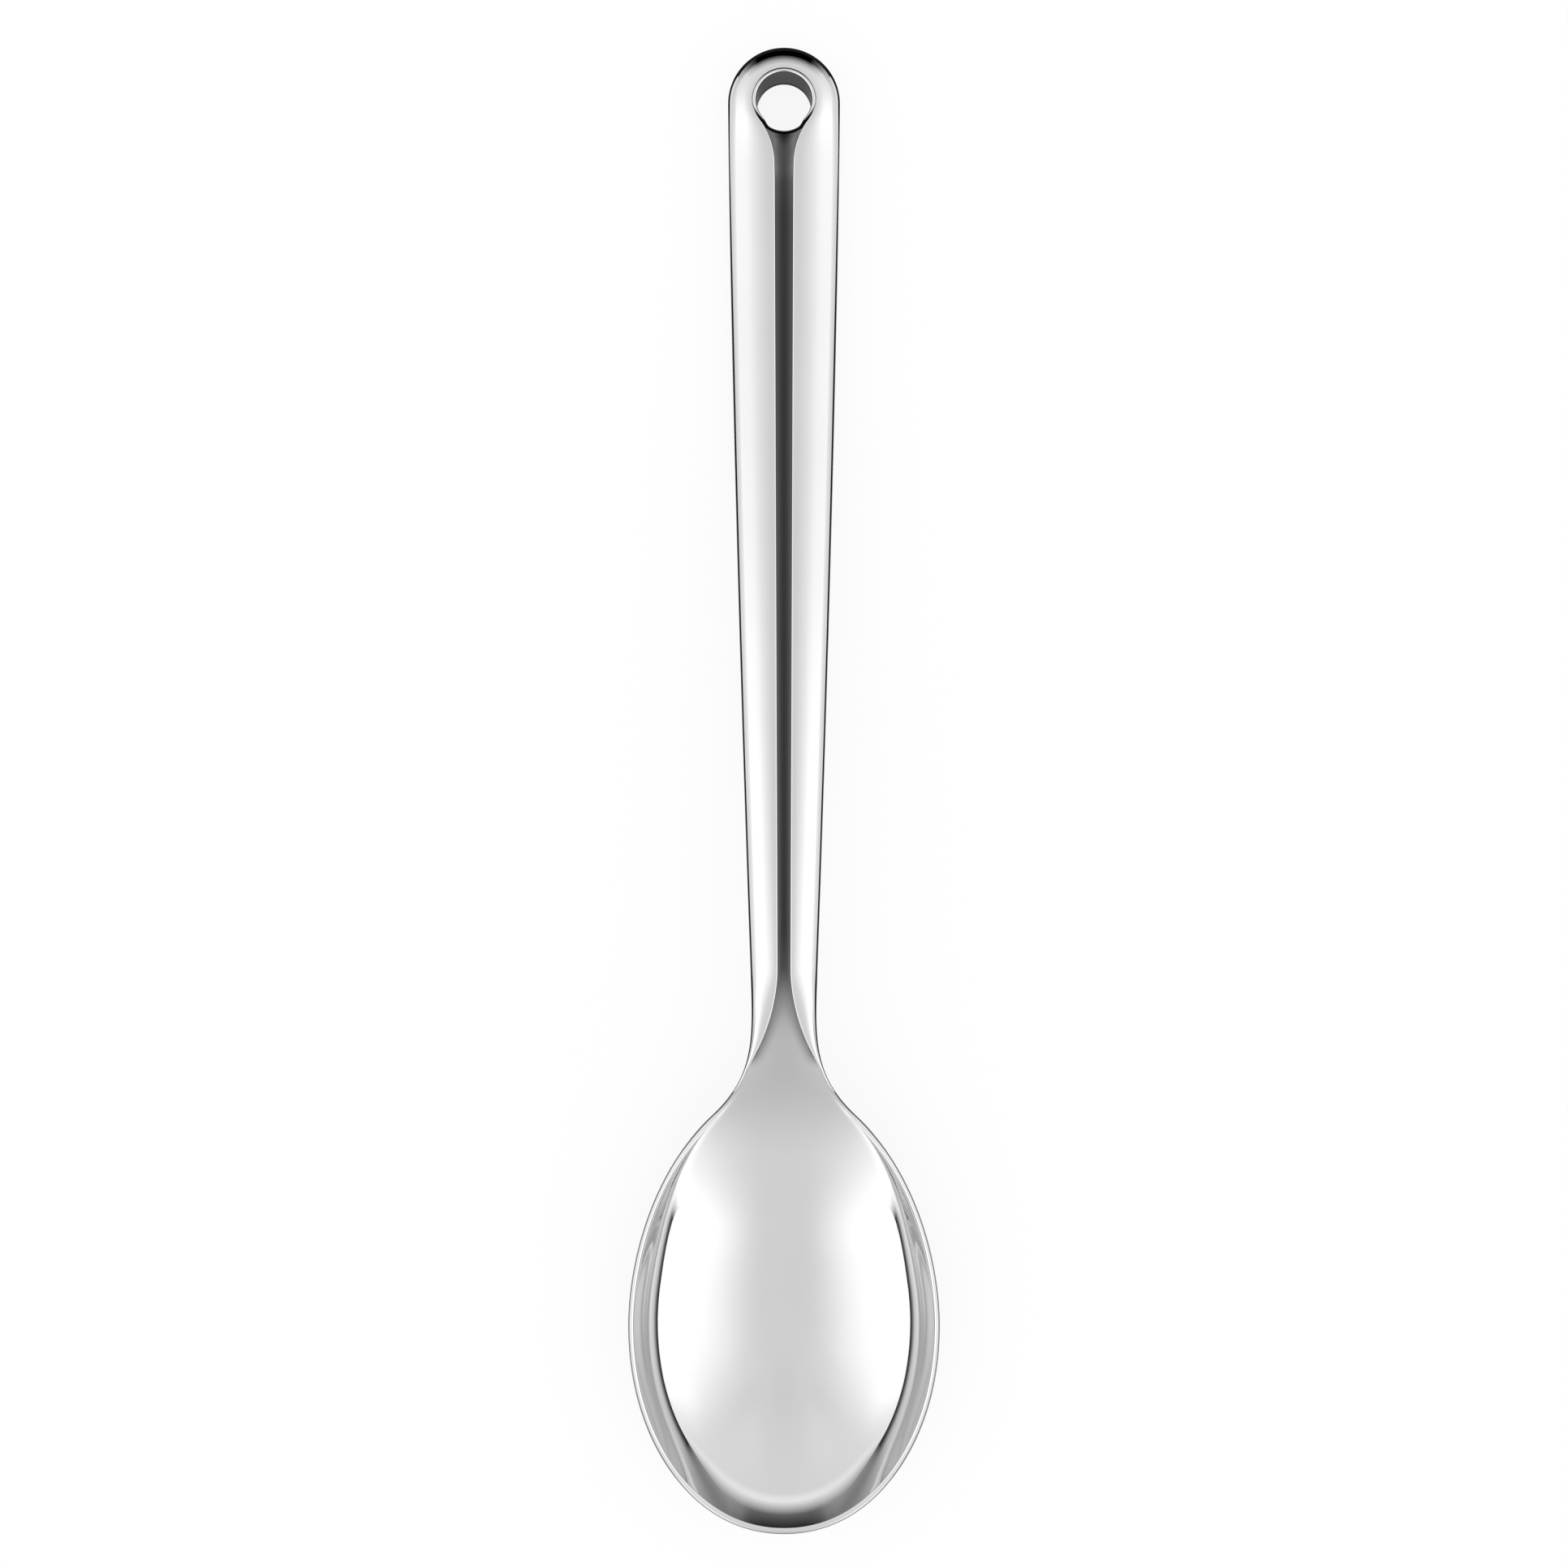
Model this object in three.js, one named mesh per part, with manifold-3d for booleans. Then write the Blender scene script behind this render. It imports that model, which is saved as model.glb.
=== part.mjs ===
// Serving spoon in stainless steel with a built-up hollow handle. All sizes are in millimetres.
// +Y runs from the bowl's tip to the hanging end, and +Z points out of the bowl.
// The origin is on the table under the middle of the spoon, which rests on its bowl and its eyelet.
//
// The bowl and its tang are one pressed sheet. A front and a back shell close round the tang, a
// weld bead joins the shells along the sides, two more hold the tang's edges under the front
// shell, and a tubular eyelet clamps the hanging end.

import * as THREE from "three";
import { mergeVertices } from "three/addons/utils/BufferGeometryUtils.js";
import loadManifold from "manifold-3d";

const { lerp, clamp, smoothstep, smootherstep } = THREE.MathUtils;
const wasm = await loadManifold();
wasm.setup();

// Overall size
const LENGTH = 300;

// Bowl: plan outline, depth and pressed section
const BOWL_WIDTH = 63.2;
const BOWL_DEPTH = 13;
const BOWL_TIP_REACH = 42;
const BOWL_SHOULDER_REACH = 49;
const TIP_ROUNDNESS = 2.08;
const SHOULDER_ROUNDNESS = 1.85;
const TIP_LIFT = 1;
const TIP_FLOOR_SHARE = 0.6;
const TIP_WALL_POWER = 3.8;
const SIDE_FLOOR_SHARE = 0.45;
const SIDE_WALL_POWER = 12;
const SHOULDER_WALL_POWER = 28;
const WALL_NARROW_REACH = 8;
const WALL_NARROW_LENGTH = 23;
const REST_FLAT_WIDTH = 7;
const REST_FLAT_LENGTH = 22;
const BOWL_SHEET = 1.2;
const RIM_LAND_DROP = 0.7;

// Neck: where the shoulders turn into the handle, and how high it stands
const SHOULDER_JOIN_REACH = 42.5;
const NECK_FLARE_LENGTH = 29.6;
const NECK_HEIGHT = 16;
const KEEL_RISE_REACH = 50;

// Handle: widths at the hanging end and at the neck, rise of the front, depth of the back
const HANDLE_END_WIDTH = 22.7;
const HANDLE_NECK_WIDTH = 13.4;
const HANDLE_TAPER_POWER = 1.36;
const FRONT_RISE_END = 3.2;
const FRONT_RISE_NECK = 2.5;
const BACK_DEPTH_END = 5.8;
const BACK_DEPTH_NECK = 3.4;
const BACK_FLAT_RUN = 40;
const LEVEL_END_LENGTH = 26;
const SHELL_SHEET = 1;

// Keyhole slot down the front shell
const SLOT_END_WIDTH = 3.7;
const SLOT_NECK_WIDTH = 2.4;
const SLOT_MOUTH_LENGTH = 20.3;
const KEYHOLE_FILLET = 15;
const PRONG_TIP_WIDTH = 0.6;

// Tang under the slot
const TANG_LEVEL = -1;
const TANG_OVERLAP = 1;
const TANG_EDGE = 0.5;
const TANG_RING_WIDTH = 2.2;

// Eyelet through the hanging end
const EYELET_BORE = 11.1;
const EYELET_WALL = 0.4;
const FRONT_LIP_WIDTH = 0.95;
const FRONT_LIP_HEIGHT = 0.5;
const FRONT_LIP_OPENING = 9.2;
const BACK_LIP_WIDTH = 1.65;
const BACK_LIP_HEIGHT = 0.6;
const LIP_ROUND = 0.3;

// Joints between the pieces
const FIT = 0.2;
const SIDE_FIT = 0.4;
const SEAM_BEAD_HEIGHT = 0.4;
const TANG_BEAD_HEIGHT = 0.4;
const TANG_BEAD_WIDTH = 0.7;
const MOUTH_SHEET = 0.35;
const MOUTH_BLEND = 14;

// Mesh fineness: sides across half the sheet, a shell and a circle, stations along each stretch
const SHEET_SIDES = 9;
const SHELL_SIDES = 14;
const ROUND_SIDES = 32;
const TIP_STATIONS = 14;
const SHOULDER_STATIONS = 12;
const NECK_STATIONS = 8;
const HANDLE_STATIONS = 8;
const END_STATIONS = 6;
const ROUND_STATIONS = 8;
const WELD_STATIONS = 10;
const LAST_STATION = 0.998;

// Stations along the spoon
const tipY = -LENGTH / 2;
const widestY = tipY + BOWL_TIP_REACH;
const joinY = widestY + SHOULDER_JOIN_REACH;
const flareTopY = joinY + NECK_FLARE_LENGTH;
const keelTopY = widestY + KEEL_RISE_REACH;
const narrowY = widestY + WALL_NARROW_REACH;
const mouthY = flareTopY - SLOT_MOUTH_LENGTH;
const endRadius = HANDLE_END_WIDTH / 2;
const holeY = LENGTH / 2 - endRadius;
const levelY = holeY + endRadius - LEVEL_END_LENGTH;

// Radii about the eyelet's axis
const boreRadius = EYELET_BORE / 2;
const barrelRadius = boreRadius + EYELET_WALL;
const holeRadius = barrelRadius + FIT;
const ringRadius = holeRadius + TANG_RING_WIDTH;
const backFlatRadius = boreRadius + BACK_LIP_WIDTH + FIT;
const seamGap = SEAM_BEAD_HEIGHT / 2 + FIT;
const endSeamHeight = BACK_DEPTH_END + FIT + BACK_LIP_HEIGHT;

// Share of the full half-width left at a share of the reach, on a superellipse
const superellipse = (share, power) => Math.max(0, 1 - clamp(share, 0, 1) ** power) ** (1 / power);
const circleHalf = (radius, offset) => Math.sqrt(Math.max(0, radius ** 2 - offset ** 2));
const quarterEllipse = (share) => Math.sqrt(Math.max(0, 1 - clamp(share, 0, 1) ** 2));

// Plan outline
const shoulderHalf = (y) =>
  (BOWL_WIDTH / 2) * superellipse((y - widestY) / BOWL_SHOULDER_REACH, SHOULDER_ROUNDNESS);
const taperShare = (y) =>
  Math.max(0, (holeY - y) / (holeY - flareTopY)) ** HANDLE_TAPER_POWER;
const taperHalf = (y) => lerp(HANDLE_END_WIDTH, HANDLE_NECK_WIDTH, taperShare(y)) / 2;

// The neck's flare meets the shoulder at its width and its slope
const SLOPE_STEP = 0.01;
const slopeOf = (curve, at) => (curve(at + SLOPE_STEP) - curve(at - SLOPE_STEP)) / (2 * SLOPE_STEP);
const flareRise = shoulderHalf(joinY) - taperHalf(joinY);
const flarePower =
  ((slopeOf(taperHalf, joinY) - slopeOf(shoulderHalf, joinY)) * NECK_FLARE_LENGTH) / flareRise;
const neckFlare = (y) =>
  flareRise * clamp((flareTopY - y) / NECK_FLARE_LENGTH, 0, 1) ** flarePower;

function halfWidth(y) {
  if (y <= widestY) {
    return (BOWL_WIDTH / 2) * superellipse((widestY - y) / BOWL_TIP_REACH, TIP_ROUNDNESS);
  }
  if (y <= joinY) return shoulderHalf(y);
  if (y <= holeY) return taperHalf(y) + neckFlare(y);
  return circleHalf(endRadius, y - holeY);
}

// Half-width of the keyhole slot: straight run, fillet and round end, and a mouth that flares
// until only the tips of the prongs are left inside the outline
const slotRun = (y) => clamp((y - flareTopY) / (holeY - flareTopY), 0, 1);
const slotStraight = (y) => lerp(SLOT_NECK_WIDTH, SLOT_END_WIDTH, slotRun(y)) / 2;
const filletX = SLOT_END_WIDTH / 2 + KEYHOLE_FILLET;
const filletY = holeY - circleHalf(holeRadius + KEYHOLE_FILLET, filletX);
const filletShare = holeRadius / (holeRadius + KEYHOLE_FILLET);
const filletEndY = lerp(holeY, filletY, filletShare);
const filletTouch = Math.atan2(filletY - holeY, filletX);
const mouthFlare = halfWidth(mouthY) - PRONG_TIP_WIDTH - SLOT_NECK_WIDTH / 2;

function slotHalf(y) {
  if (y >= filletEndY) return circleHalf(holeRadius, y - holeY);
  if (y >= filletY) return filletX - circleHalf(KEYHOLE_FILLET, y - filletY);
  return slotStraight(y) + mouthFlare * (Math.max(0, flareTopY - y) / SLOT_MOUTH_LENGTH) ** 2;
}

// Side view: height of the rim, which runs on as the seam between the handle's shells
function seamHeight(y) {
  if (y <= widestY) return BOWL_DEPTH + TIP_LIFT * ((widestY - y) / BOWL_TIP_REACH) ** 3;
  if (y <= flareTopY) return lerp(BOWL_DEPTH, NECK_HEIGHT, smootherstep(y, widestY, flareTopY));
  return lerp(NECK_HEIGHT, endSeamHeight, smoothstep(y, flareTopY, levelY));
}

// Underside of the sheet on the centre line: flat under the bowl, then up into the handle
const restEndY = widestY + REST_FLAT_LENGTH / 2;
const keelHeight = (y) => lerp(0, seamHeight(y) + TANG_LEVEL, smootherstep(y, restEndY, keelTopY));

// Front shell: rise of its crest over the seam and thickness, both fading towards the prong tips
function frontRise(y) {
  const flareShare = (slotHalf(y) - slotStraight(y)) / (halfWidth(y) - slotStraight(y));
  const rise = lerp(FRONT_RISE_END, FRONT_RISE_NECK, taperShare(y));
  return y < filletY ? rise * quarterEllipse(flareShare) : rise;
}
function frontSheet(y) {
  const lipWidth = y > holeY ? endRadius - holeRadius : halfWidth(y) - slotHalf(y);
  return Math.min(SHELL_SHEET, lipWidth / 2, frontRise(y) / 2);
}
const backSheet = (y) =>
  lerp(Math.min(MOUTH_SHEET, SHELL_SHEET), SHELL_SHEET, smootherstep(y, mouthY, mouthY + MOUTH_BLEND));

// Back shell: depth under the seam, closing up to the bowl's underside at the mouth
function backDepth(y) {
  const handle = lerp(BACK_DEPTH_END, BACK_DEPTH_NECK, taperShare(y));
  const mouth = seamHeight(y) - keelHeight(y) + FIT + backSheet(y);
  return lerp(mouth, handle, smootherstep(y, mouthY, mouthY + MOUTH_BLEND));
}

// Half-width of the flat on the back, which grows into the round seat of the eyelet
const backFlat = (y) => backFlatRadius * smootherstep(y, holeY - BACK_FLAT_RUN, holeY);
const frontFlat = (y) => (y > holeY ? holeRadius : slotHalf(y));

// Height of a shell's surface over the seam, thinned by inset on the inner side. flat is the
// half-width of its level crest, and past the hole the same profile turns about the eyelet.
function shellHeight(x, y, rise, flat, inset) {
  const across = y > holeY ? Math.hypot(x, y - holeY) : Math.abs(x);
  const edge = (y > holeY ? endRadius : halfWidth(y)) - inset;
  return (rise - inset) * quarterEllipse((across - flat) / (edge - flat));
}

// Half-width of a shell where its surface comes down to the seam's gap
function shellEdge(y, rise, flat, inset) {
  const share = quarterEllipse(seamGap / (rise - inset));
  const across = (y > holeY ? endRadius : halfWidth(y)) - inset;
  const edge = flat + (across - flat) * share;
  return y > holeY ? circleHalf(edge, y - holeY) : edge;
}

// Positions from -1 to 1 across a section, closer together towards its edges
const spread = (sides) =>
  Array.from({ length: sides + 1 }, (_, i) => Math.sin((Math.PI / 2) * ((2 * i) / sides - 1)));

// Evenly spaced stations from a to b, without the last
const stations = (a, b, count) => Array.from({ length: count }, (_, i) => lerp(a, b, i / count));

// Stations round the end of a circle, closer together towards its far point
const roundStations = (centre, radius, count) => [
  ...stations(0, Math.PI / 2, count).map((turn) => centre + radius * Math.sin(turn)),
  centre + radius * LAST_STATION,
];

// A closed body through sections along Y. Each section has a top and a bottom row of points, both
// from -X to +X, and the first and last sections are capped.
function loft(sections) {
  const rows = sections[0].top.length;
  const points = sections.flatMap(({ top, bottom }) => [...top, ...bottom.toReversed()]);
  const ring = 2 * rows;
  const index = [];
  const quad = (a, b, c, d) => index.push(a, b, c, a, c, d);
  for (let s = 0; s + 1 < sections.length; s++) {
    for (let i = 0; i < ring; i++) {
      const next = (i + 1) % ring;
      quad(s * ring + i, s * ring + next, (s + 1) * ring + next, (s + 1) * ring + i);
    }
  }
  const last = (sections.length - 1) * ring;
  for (let i = 0; i + 1 < rows; i++) {
    quad(ring - 1 - i, ring - 2 - i, i + 1, i);
    quad(last + i, last + i + 1, last + ring - 2 - i, last + ring - 1 - i);
  }
  const geometry = new THREE.BufferGeometry().setFromPoints(points);
  geometry.setIndex(index);
  return geometry;
}

// Solids for cutting and joining
const WELD_DISTANCE = 1e-4;

function solidFrom(geometry) {
  const bare = geometry.clone();
  bare.deleteAttribute("normal");
  bare.deleteAttribute("uv");
  const merged = mergeVertices(bare, WELD_DISTANCE);
  const all = merged.index.array;
  const kept = [];
  for (let i = 0; i < all.length; i += 3) {
    const [a, b, c] = all.slice(i, i + 3);
    if (a !== b && b !== c && c !== a) kept.push(a, b, c);
  }
  return new wasm.Manifold(
    new wasm.Mesh({
      numProp: 3,
      vertProperties: merged.attributes.position.array,
      triVerts: new Uint32Array(kept),
    }),
  );
}

function geometryFrom(solid) {
  const { vertProperties, triVerts } = solid.getMesh();
  const geometry = new THREE.BufferGeometry();
  geometry.setAttribute("position", new THREE.BufferAttribute(vertProperties, 3));
  geometry.setIndex(new THREE.BufferAttribute(triVerts, 1));
  return geometry;
}

// Bowl and tang: one pressed sheet from the bowl's tip to a ring round the eyelet
const innerHeight = (x, y) => shellHeight(x, y, frontRise(y), frontFlat(y), frontSheet(y));
const ringStartY = holeY - circleHalf(ringRadius, SLOT_END_WIDTH / 2 + TANG_OVERLAP);

function tangHalf(y) {
  const ring = circleHalf(ringRadius, y - holeY);
  if (y >= holeY) return ring;
  const wall = Math.max(frontSheet(y), backSheet(y));
  return Math.max(ring, Math.min(slotHalf(y) + TANG_OVERLAP, halfWidth(y) - wall - SIDE_FIT));
}

// Share of the rise from floor to edge at a share of the way out, from dish to gutter. The wall is
// sloping at the tip, steep at the sides and a narrow upright rim at the shoulders.
const flatShare = REST_FLAT_WIDTH / BOWL_WIDTH;

function sectionRise(share, y, toTip = 0) {
  const wall = Math.max(0, share - flatShare) / (1 - flatShare);
  const narrowing = clamp((y - narrowY) / WALL_NARROW_LENGTH, 0, 1) ** 2;
  const sidePower = lerp(SIDE_WALL_POWER, SHOULDER_WALL_POWER, narrowing);
  const power = lerp(sidePower, TIP_WALL_POWER, toTip);
  const floor = lerp(SIDE_FLOOR_SHARE, TIP_FLOOR_SHARE, toTip);
  const dish = floor * wall ** 2 + (1 - floor) * wall ** power;
  return lerp(dish, share ** 2, smootherstep(y, joinY, mouthY));
}

function bowlUnderside(x, y) {
  const rim = seamHeight(y) - RIM_LAND_DROP;
  if (y >= widestY) return lerp(keelHeight(y), rim, sectionRise(Math.abs(x) / halfWidth(y), y));
  const across = (Math.abs(x) / (BOWL_WIDTH / 2)) ** TIP_ROUNDNESS;
  const along = ((widestY - y) / BOWL_TIP_REACH) ** TIP_ROUNDNESS;
  const out = Math.min(1, (across + along) ** (1 / TIP_ROUNDNESS));
  return lerp(keelHeight(y), rim, sectionRise(out, y, smootherstep(along / (across + along), 0, 1)));
}

// Height of the tang's upper edges: on with the bowl's face at the mouth, turned up under the lips
// of the front shell, and fading to the flat ring
function tangEdgeHeight(y) {
  const underShell = innerHeight(Math.max(tangHalf(y), slotHalf(y)), y) - 2 * FIT - TANG_BEAD_HEIGHT;
  const flat = TANG_LEVEL + BOWL_SHEET;
  const toRing = smootherstep(y, ringStartY - ringRadius, ringStartY);
  const turnedUp = seamHeight(y) + lerp(underShell, flat, toRing);
  const atMouth = bowlUnderside(tangHalf(y), y) + BOWL_SHEET;
  return lerp(atMouth, turnedUp, smootherstep(y, mouthY, flareTopY));
}

// Positions from -1 to 1 across the sheet, on both sides of its flat strip
const sheetHalf = Array.from({ length: SHEET_SIDES + 1 }, (_, i) =>
  lerp(flatShare, 1, Math.sin((Math.PI / 2) * (i / SHEET_SIDES))),
);
const acrossSheet = [...sheetHalf.map((u) => -u).toReversed(), ...sheetHalf];

// In the bowl the sheet has its full thickness square to its surface, turning upright at the neck
function bowlSection(y) {
  const bottom = acrossSheet.map((u) => {
    const x = u * halfWidth(y);
    return new THREE.Vector3(x, y, bowlUnderside(x, y));
  });
  const top = bottom.map((p) => {
    const inward = p.x < 0 ? -SLOPE_STEP : SLOPE_STEP;
    const slopeX = (p.z - bowlUnderside(p.x - inward, y)) / inward;
    const slopeY = (bowlUnderside(p.x, y + SLOPE_STEP) - p.z) / SLOPE_STEP;
    const normal = new THREE.Vector3(-slopeX, -slopeY, 1).normalize();
    normal.lerp(new THREE.Vector3(0, 0, 1), smootherstep(y, joinY, mouthY)).normalize();
    return p.clone().addScaledVector(normal, BOWL_SHEET);
  });
  return { top, bottom };
}

// In the handle the sheet is a gutter whose edges are thinned to lie under the front shell
function tangSection(y) {
  const floor = keelHeight(y);
  const edge = tangEdgeHeight(y);
  const toRing = smootherstep(y, ringStartY - ringRadius, ringStartY);
  const edgeSheet = lerp(TANG_EDGE, BOWL_SHEET, toRing);
  const row = (low, high) =>
    acrossSheet.map((u) => {
      return new THREE.Vector3(u * tangHalf(y), y, lerp(low, high, sectionRise(Math.abs(u), y)));
    });
  return { top: row(floor + BOWL_SHEET, edge), bottom: row(floor, edge - edgeSheet) };
}

function bowlAndTang() {
  const shoulderY = mouthY - FIT;
  const bowl = [
    ...roundStations(widestY, -BOWL_TIP_REACH, TIP_STATIONS).toReversed(),
    ...stations(widestY, joinY, SHOULDER_STATIONS).slice(1),
    ...stations(joinY, shoulderY, NECK_STATIONS),
    shoulderY,
  ];
  const tang = [
    ...stations(shoulderY, flareTopY, NECK_STATIONS),
    ...stations(flareTopY, ringStartY - ringRadius, HANDLE_STATIONS),
    ...stations(ringStartY - ringRadius, ringStartY, END_STATIONS),
    ...stations(ringStartY, holeY, END_STATIONS),
    ...roundStations(holeY, ringRadius, ROUND_STATIONS),
  ];
  const sheet = loft([...bowl.map(bowlSection), ...tang.map(tangSection)]);
  return geometryFrom(solidFrom(sheet).subtract(solidFrom(eyeletCutter())));
}

// A round cutter on the eyelet's axis, right through the handle
function eyeletCutter() {
  const cutter = new THREE.CylinderGeometry(holeRadius, holeRadius, 4 * NECK_HEIGHT, ROUND_SIDES);
  cutter.rotateX(Math.PI / 2);
  cutter.translate(0, holeY, NECK_HEIGHT);
  return cutter;
}

// Handle shells: the space between an outer and an inner skin, on one side of the seam
const shellStations = (startY, edgeRadius) => [
  ...stations(startY, flareTopY, NECK_STATIONS),
  ...stations(flareTopY, holeY - BACK_FLAT_RUN, HANDLE_STATIONS),
  ...stations(holeY - BACK_FLAT_RUN, filletY, END_STATIONS),
  ...stations(filletY, holeY, END_STATIONS),
  ...roundStations(holeY, edgeRadius, ROUND_STATIONS),
];

// One skin as a solid. side is 1 for the front and -1 for the back, and base is how far its flat
// face lies from the seam.
function skin({ side, startY, rise, flat, inset, base }) {
  const edgeRadius = shellEdge(holeY, rise(holeY), flat(holeY), inset(holeY));
  const sections = shellStations(startY, edgeRadius).map((y) => {
    const edge = shellEdge(y, rise(y), flat(y), inset(y));
    const xs = spread(SHELL_SIDES).map((u) => u * edge);
    const row = (height) => xs.map((x) => new THREE.Vector3(x, y, seamHeight(y) + side * height(x)));
    const curved = row((x) => Math.max(seamGap, shellHeight(x, y, rise(y), flat(y), inset(y))));
    const level = row(() => base);
    return side > 0 ? { top: curved, bottom: level } : { top: level, bottom: curved };
  });
  return solidFrom(loft(sections));
}

// The inner skin runs on past the seam and the mouth, so that the shell is open at both
function shell(side, rise, flat, sheet) {
  const none = () => 0;
  const outer = skin({ side, startY: mouthY, rise, flat, inset: none, base: seamGap });
  const inner = skin({
    side,
    startY: mouthY - FIT,
    rise,
    flat,
    inset: sheet,
    base: seamGap - SEAM_BEAD_HEIGHT,
  });
  return outer.subtract(inner);
}

// The keyhole slot as seen from the front: mouth, straight sides, fillets and round end
function keyholeCutter() {
  const startY = mouthY - FIT;
  const neckHalf = SLOT_NECK_WIDTH / 2;
  const mouthHalf = slotHalf(startY);
  const middleY = (startY + flareTopY) / 2;
  const endHalf = SLOT_END_WIDTH / 2;
  const outline = new THREE.Shape();
  outline.moveTo(mouthHalf, startY);
  outline.quadraticCurveTo(neckHalf, middleY, neckHalf, flareTopY);
  outline.lineTo(endHalf, filletY);
  outline.absarc(filletX, filletY, KEYHOLE_FILLET, Math.PI, Math.PI + filletTouch, true);
  outline.absarc(0, holeY, holeRadius, filletTouch, Math.PI - filletTouch, false);
  outline.absarc(-filletX, filletY, KEYHOLE_FILLET, -filletTouch, 0, true);
  outline.lineTo(-neckHalf, flareTopY);
  outline.quadraticCurveTo(-neckHalf, middleY, -mouthHalf, startY);
  const cutter = new THREE.ExtrudeGeometry(outline, {
    depth: 2 * NECK_HEIGHT,
    bevelEnabled: false,
    curveSegments: ROUND_SIDES / 2,
  });
  return cutter;
}

function frontShell() {
  const whole = shell(1, frontRise, frontFlat, frontSheet);
  return geometryFrom(whole.subtract(solidFrom(keyholeCutter())));
}

function backShell() {
  const whole = shell(-1, backDepth, backFlat, backSheet);
  return geometryFrom(whole.subtract(solidFrom(eyeletCutter())));
}

// Seam bead: a flat band between the shells, round the end and down both sides
function seamWeld() {
  const startY = mouthY + MOUTH_BLEND / 2;
  const wall = (y) => Math.min(frontSheet(y), backSheet(y));
  const band = (inset, halfHeight, fromY) => {
    const radius = endRadius - inset(holeY);
    const sections = shellStations(fromY, radius).map((y) => {
      const edge = y > holeY ? circleHalf(radius, y - holeY) : halfWidth(y) - inset(y);
      const row = (z) => [-1, 1].map((u) => new THREE.Vector3(u * edge, y, seamHeight(y) + z));
      return { top: row(halfHeight), bottom: row(-halfHeight) };
    });
    return solidFrom(loft(sections));
  };
  const outer = band(() => 0, SEAM_BEAD_HEIGHT / 2, startY);
  return geometryFrom(outer.subtract(band(wall, SEAM_BEAD_HEIGHT, startY - FIT)));
}

// Tang bead: a strip between a turned-up edge of the tang and the front shell
function tangWeld(side) {
  const endY = ringStartY - ringRadius;
  const sections = [...stations(flareTopY, endY, WELD_STATIONS), endY].map((y) => {
    const outerX = tangHalf(y);
    const xs = [outerX - TANG_BEAD_WIDTH, outerX].map((x) => side * x).sort((a, b) => a - b);
    const level = seamHeight(y) + innerHeight(outerX, y) - FIT;
    const row = (z) => xs.map((x) => new THREE.Vector3(x, y, z));
    return { top: row(level), bottom: row(level - TANG_BEAD_HEIGHT) };
  });
  return geometryFrom(solidFrom(loft(sections)));
}

// The opening in the eyelet's front, from its axis out over the tang into the slot
function throatCutter() {
  const reach = boreRadius + 2 * FRONT_LIP_WIDTH;
  const cutter = new THREE.BoxGeometry(FRONT_LIP_OPENING, reach, NECK_HEIGHT);
  cutter.translate(0, -reach / 2, TANG_LEVEL + BOWL_SHEET + NECK_HEIGHT / 2);
  return cutter;
}

// Eyelet: a thin tube with a beaded lip on the front and a flat lip on the back. Over the tang its
// front is open towards the slot, so that hole and slot run together as one keyhole.
function eyelet() {
  const frontZ = FRONT_RISE_END + FIT;
  const backZ = -BACK_DEPTH_END - FIT;
  const restZ = backZ - BACK_LIP_HEIGHT;
  const backLip = boreRadius + BACK_LIP_WIDTH;
  const beadHalf = FRONT_LIP_WIDTH / 2;
  const profile = new THREE.Path();
  profile.moveTo(boreRadius, restZ + LIP_ROUND);
  profile.absarc(boreRadius + LIP_ROUND, restZ + LIP_ROUND, LIP_ROUND, Math.PI, 1.5 * Math.PI, false);
  profile.lineTo(backLip - LIP_ROUND, restZ);
  profile.absarc(backLip - LIP_ROUND, restZ + LIP_ROUND, LIP_ROUND, 1.5 * Math.PI, 2 * Math.PI, false);
  profile.lineTo(backLip, backZ);
  profile.lineTo(barrelRadius, backZ);
  profile.lineTo(barrelRadius, frontZ);
  profile.lineTo(boreRadius + FRONT_LIP_WIDTH, frontZ);
  profile.absellipse(boreRadius + beadHalf, frontZ, beadHalf, FRONT_LIP_HEIGHT, 0, Math.PI, false);
  profile.lineTo(boreRadius, restZ + LIP_ROUND);
  const ring = new THREE.LatheGeometry(profile.getPoints(2), ROUND_SIDES);
  ring.rotateX(Math.PI / 2);
  return geometryFrom(solidFrom(ring).subtract(solidFrom(throatCutter())));
}

// The spoon
const polished = new THREE.MeshStandardMaterial({ color: 0xd9dadc, roughness: 0.08, metalness: 1 });
const eyeletSteel = new THREE.MeshStandardMaterial({ color: 0xcfd0d2, roughness: 0.14, metalness: 1 });
const weldSteel = new THREE.MeshStandardMaterial({ color: 0xc4c4c6, roughness: 0.25, metalness: 1 });

const spoon = new THREE.Group();

function add(name, geometry, material) {
  const mesh = new THREE.Mesh(geometry, material);
  mesh.name = name;
  spoon.add(mesh);
  return mesh;
}

add("bowl_and_tang", bowlAndTang(), polished);
add("handle_back_shell", backShell(), polished);
add("handle_front_shell", frontShell(), polished);
add("side_seam_weld", seamWeld(), weldSteel);
add("tang_weld_left", tangWeld(-1), weldSteel);
add("tang_weld_right", tangWeld(1), weldSteel);
add("hanging_eyelet", eyelet(), eyeletSteel).position.set(0, holeY, endSeamHeight);

export default spoon;
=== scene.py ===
import math

import bmesh
import bpy
from mathutils import Matrix, Vector


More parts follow.
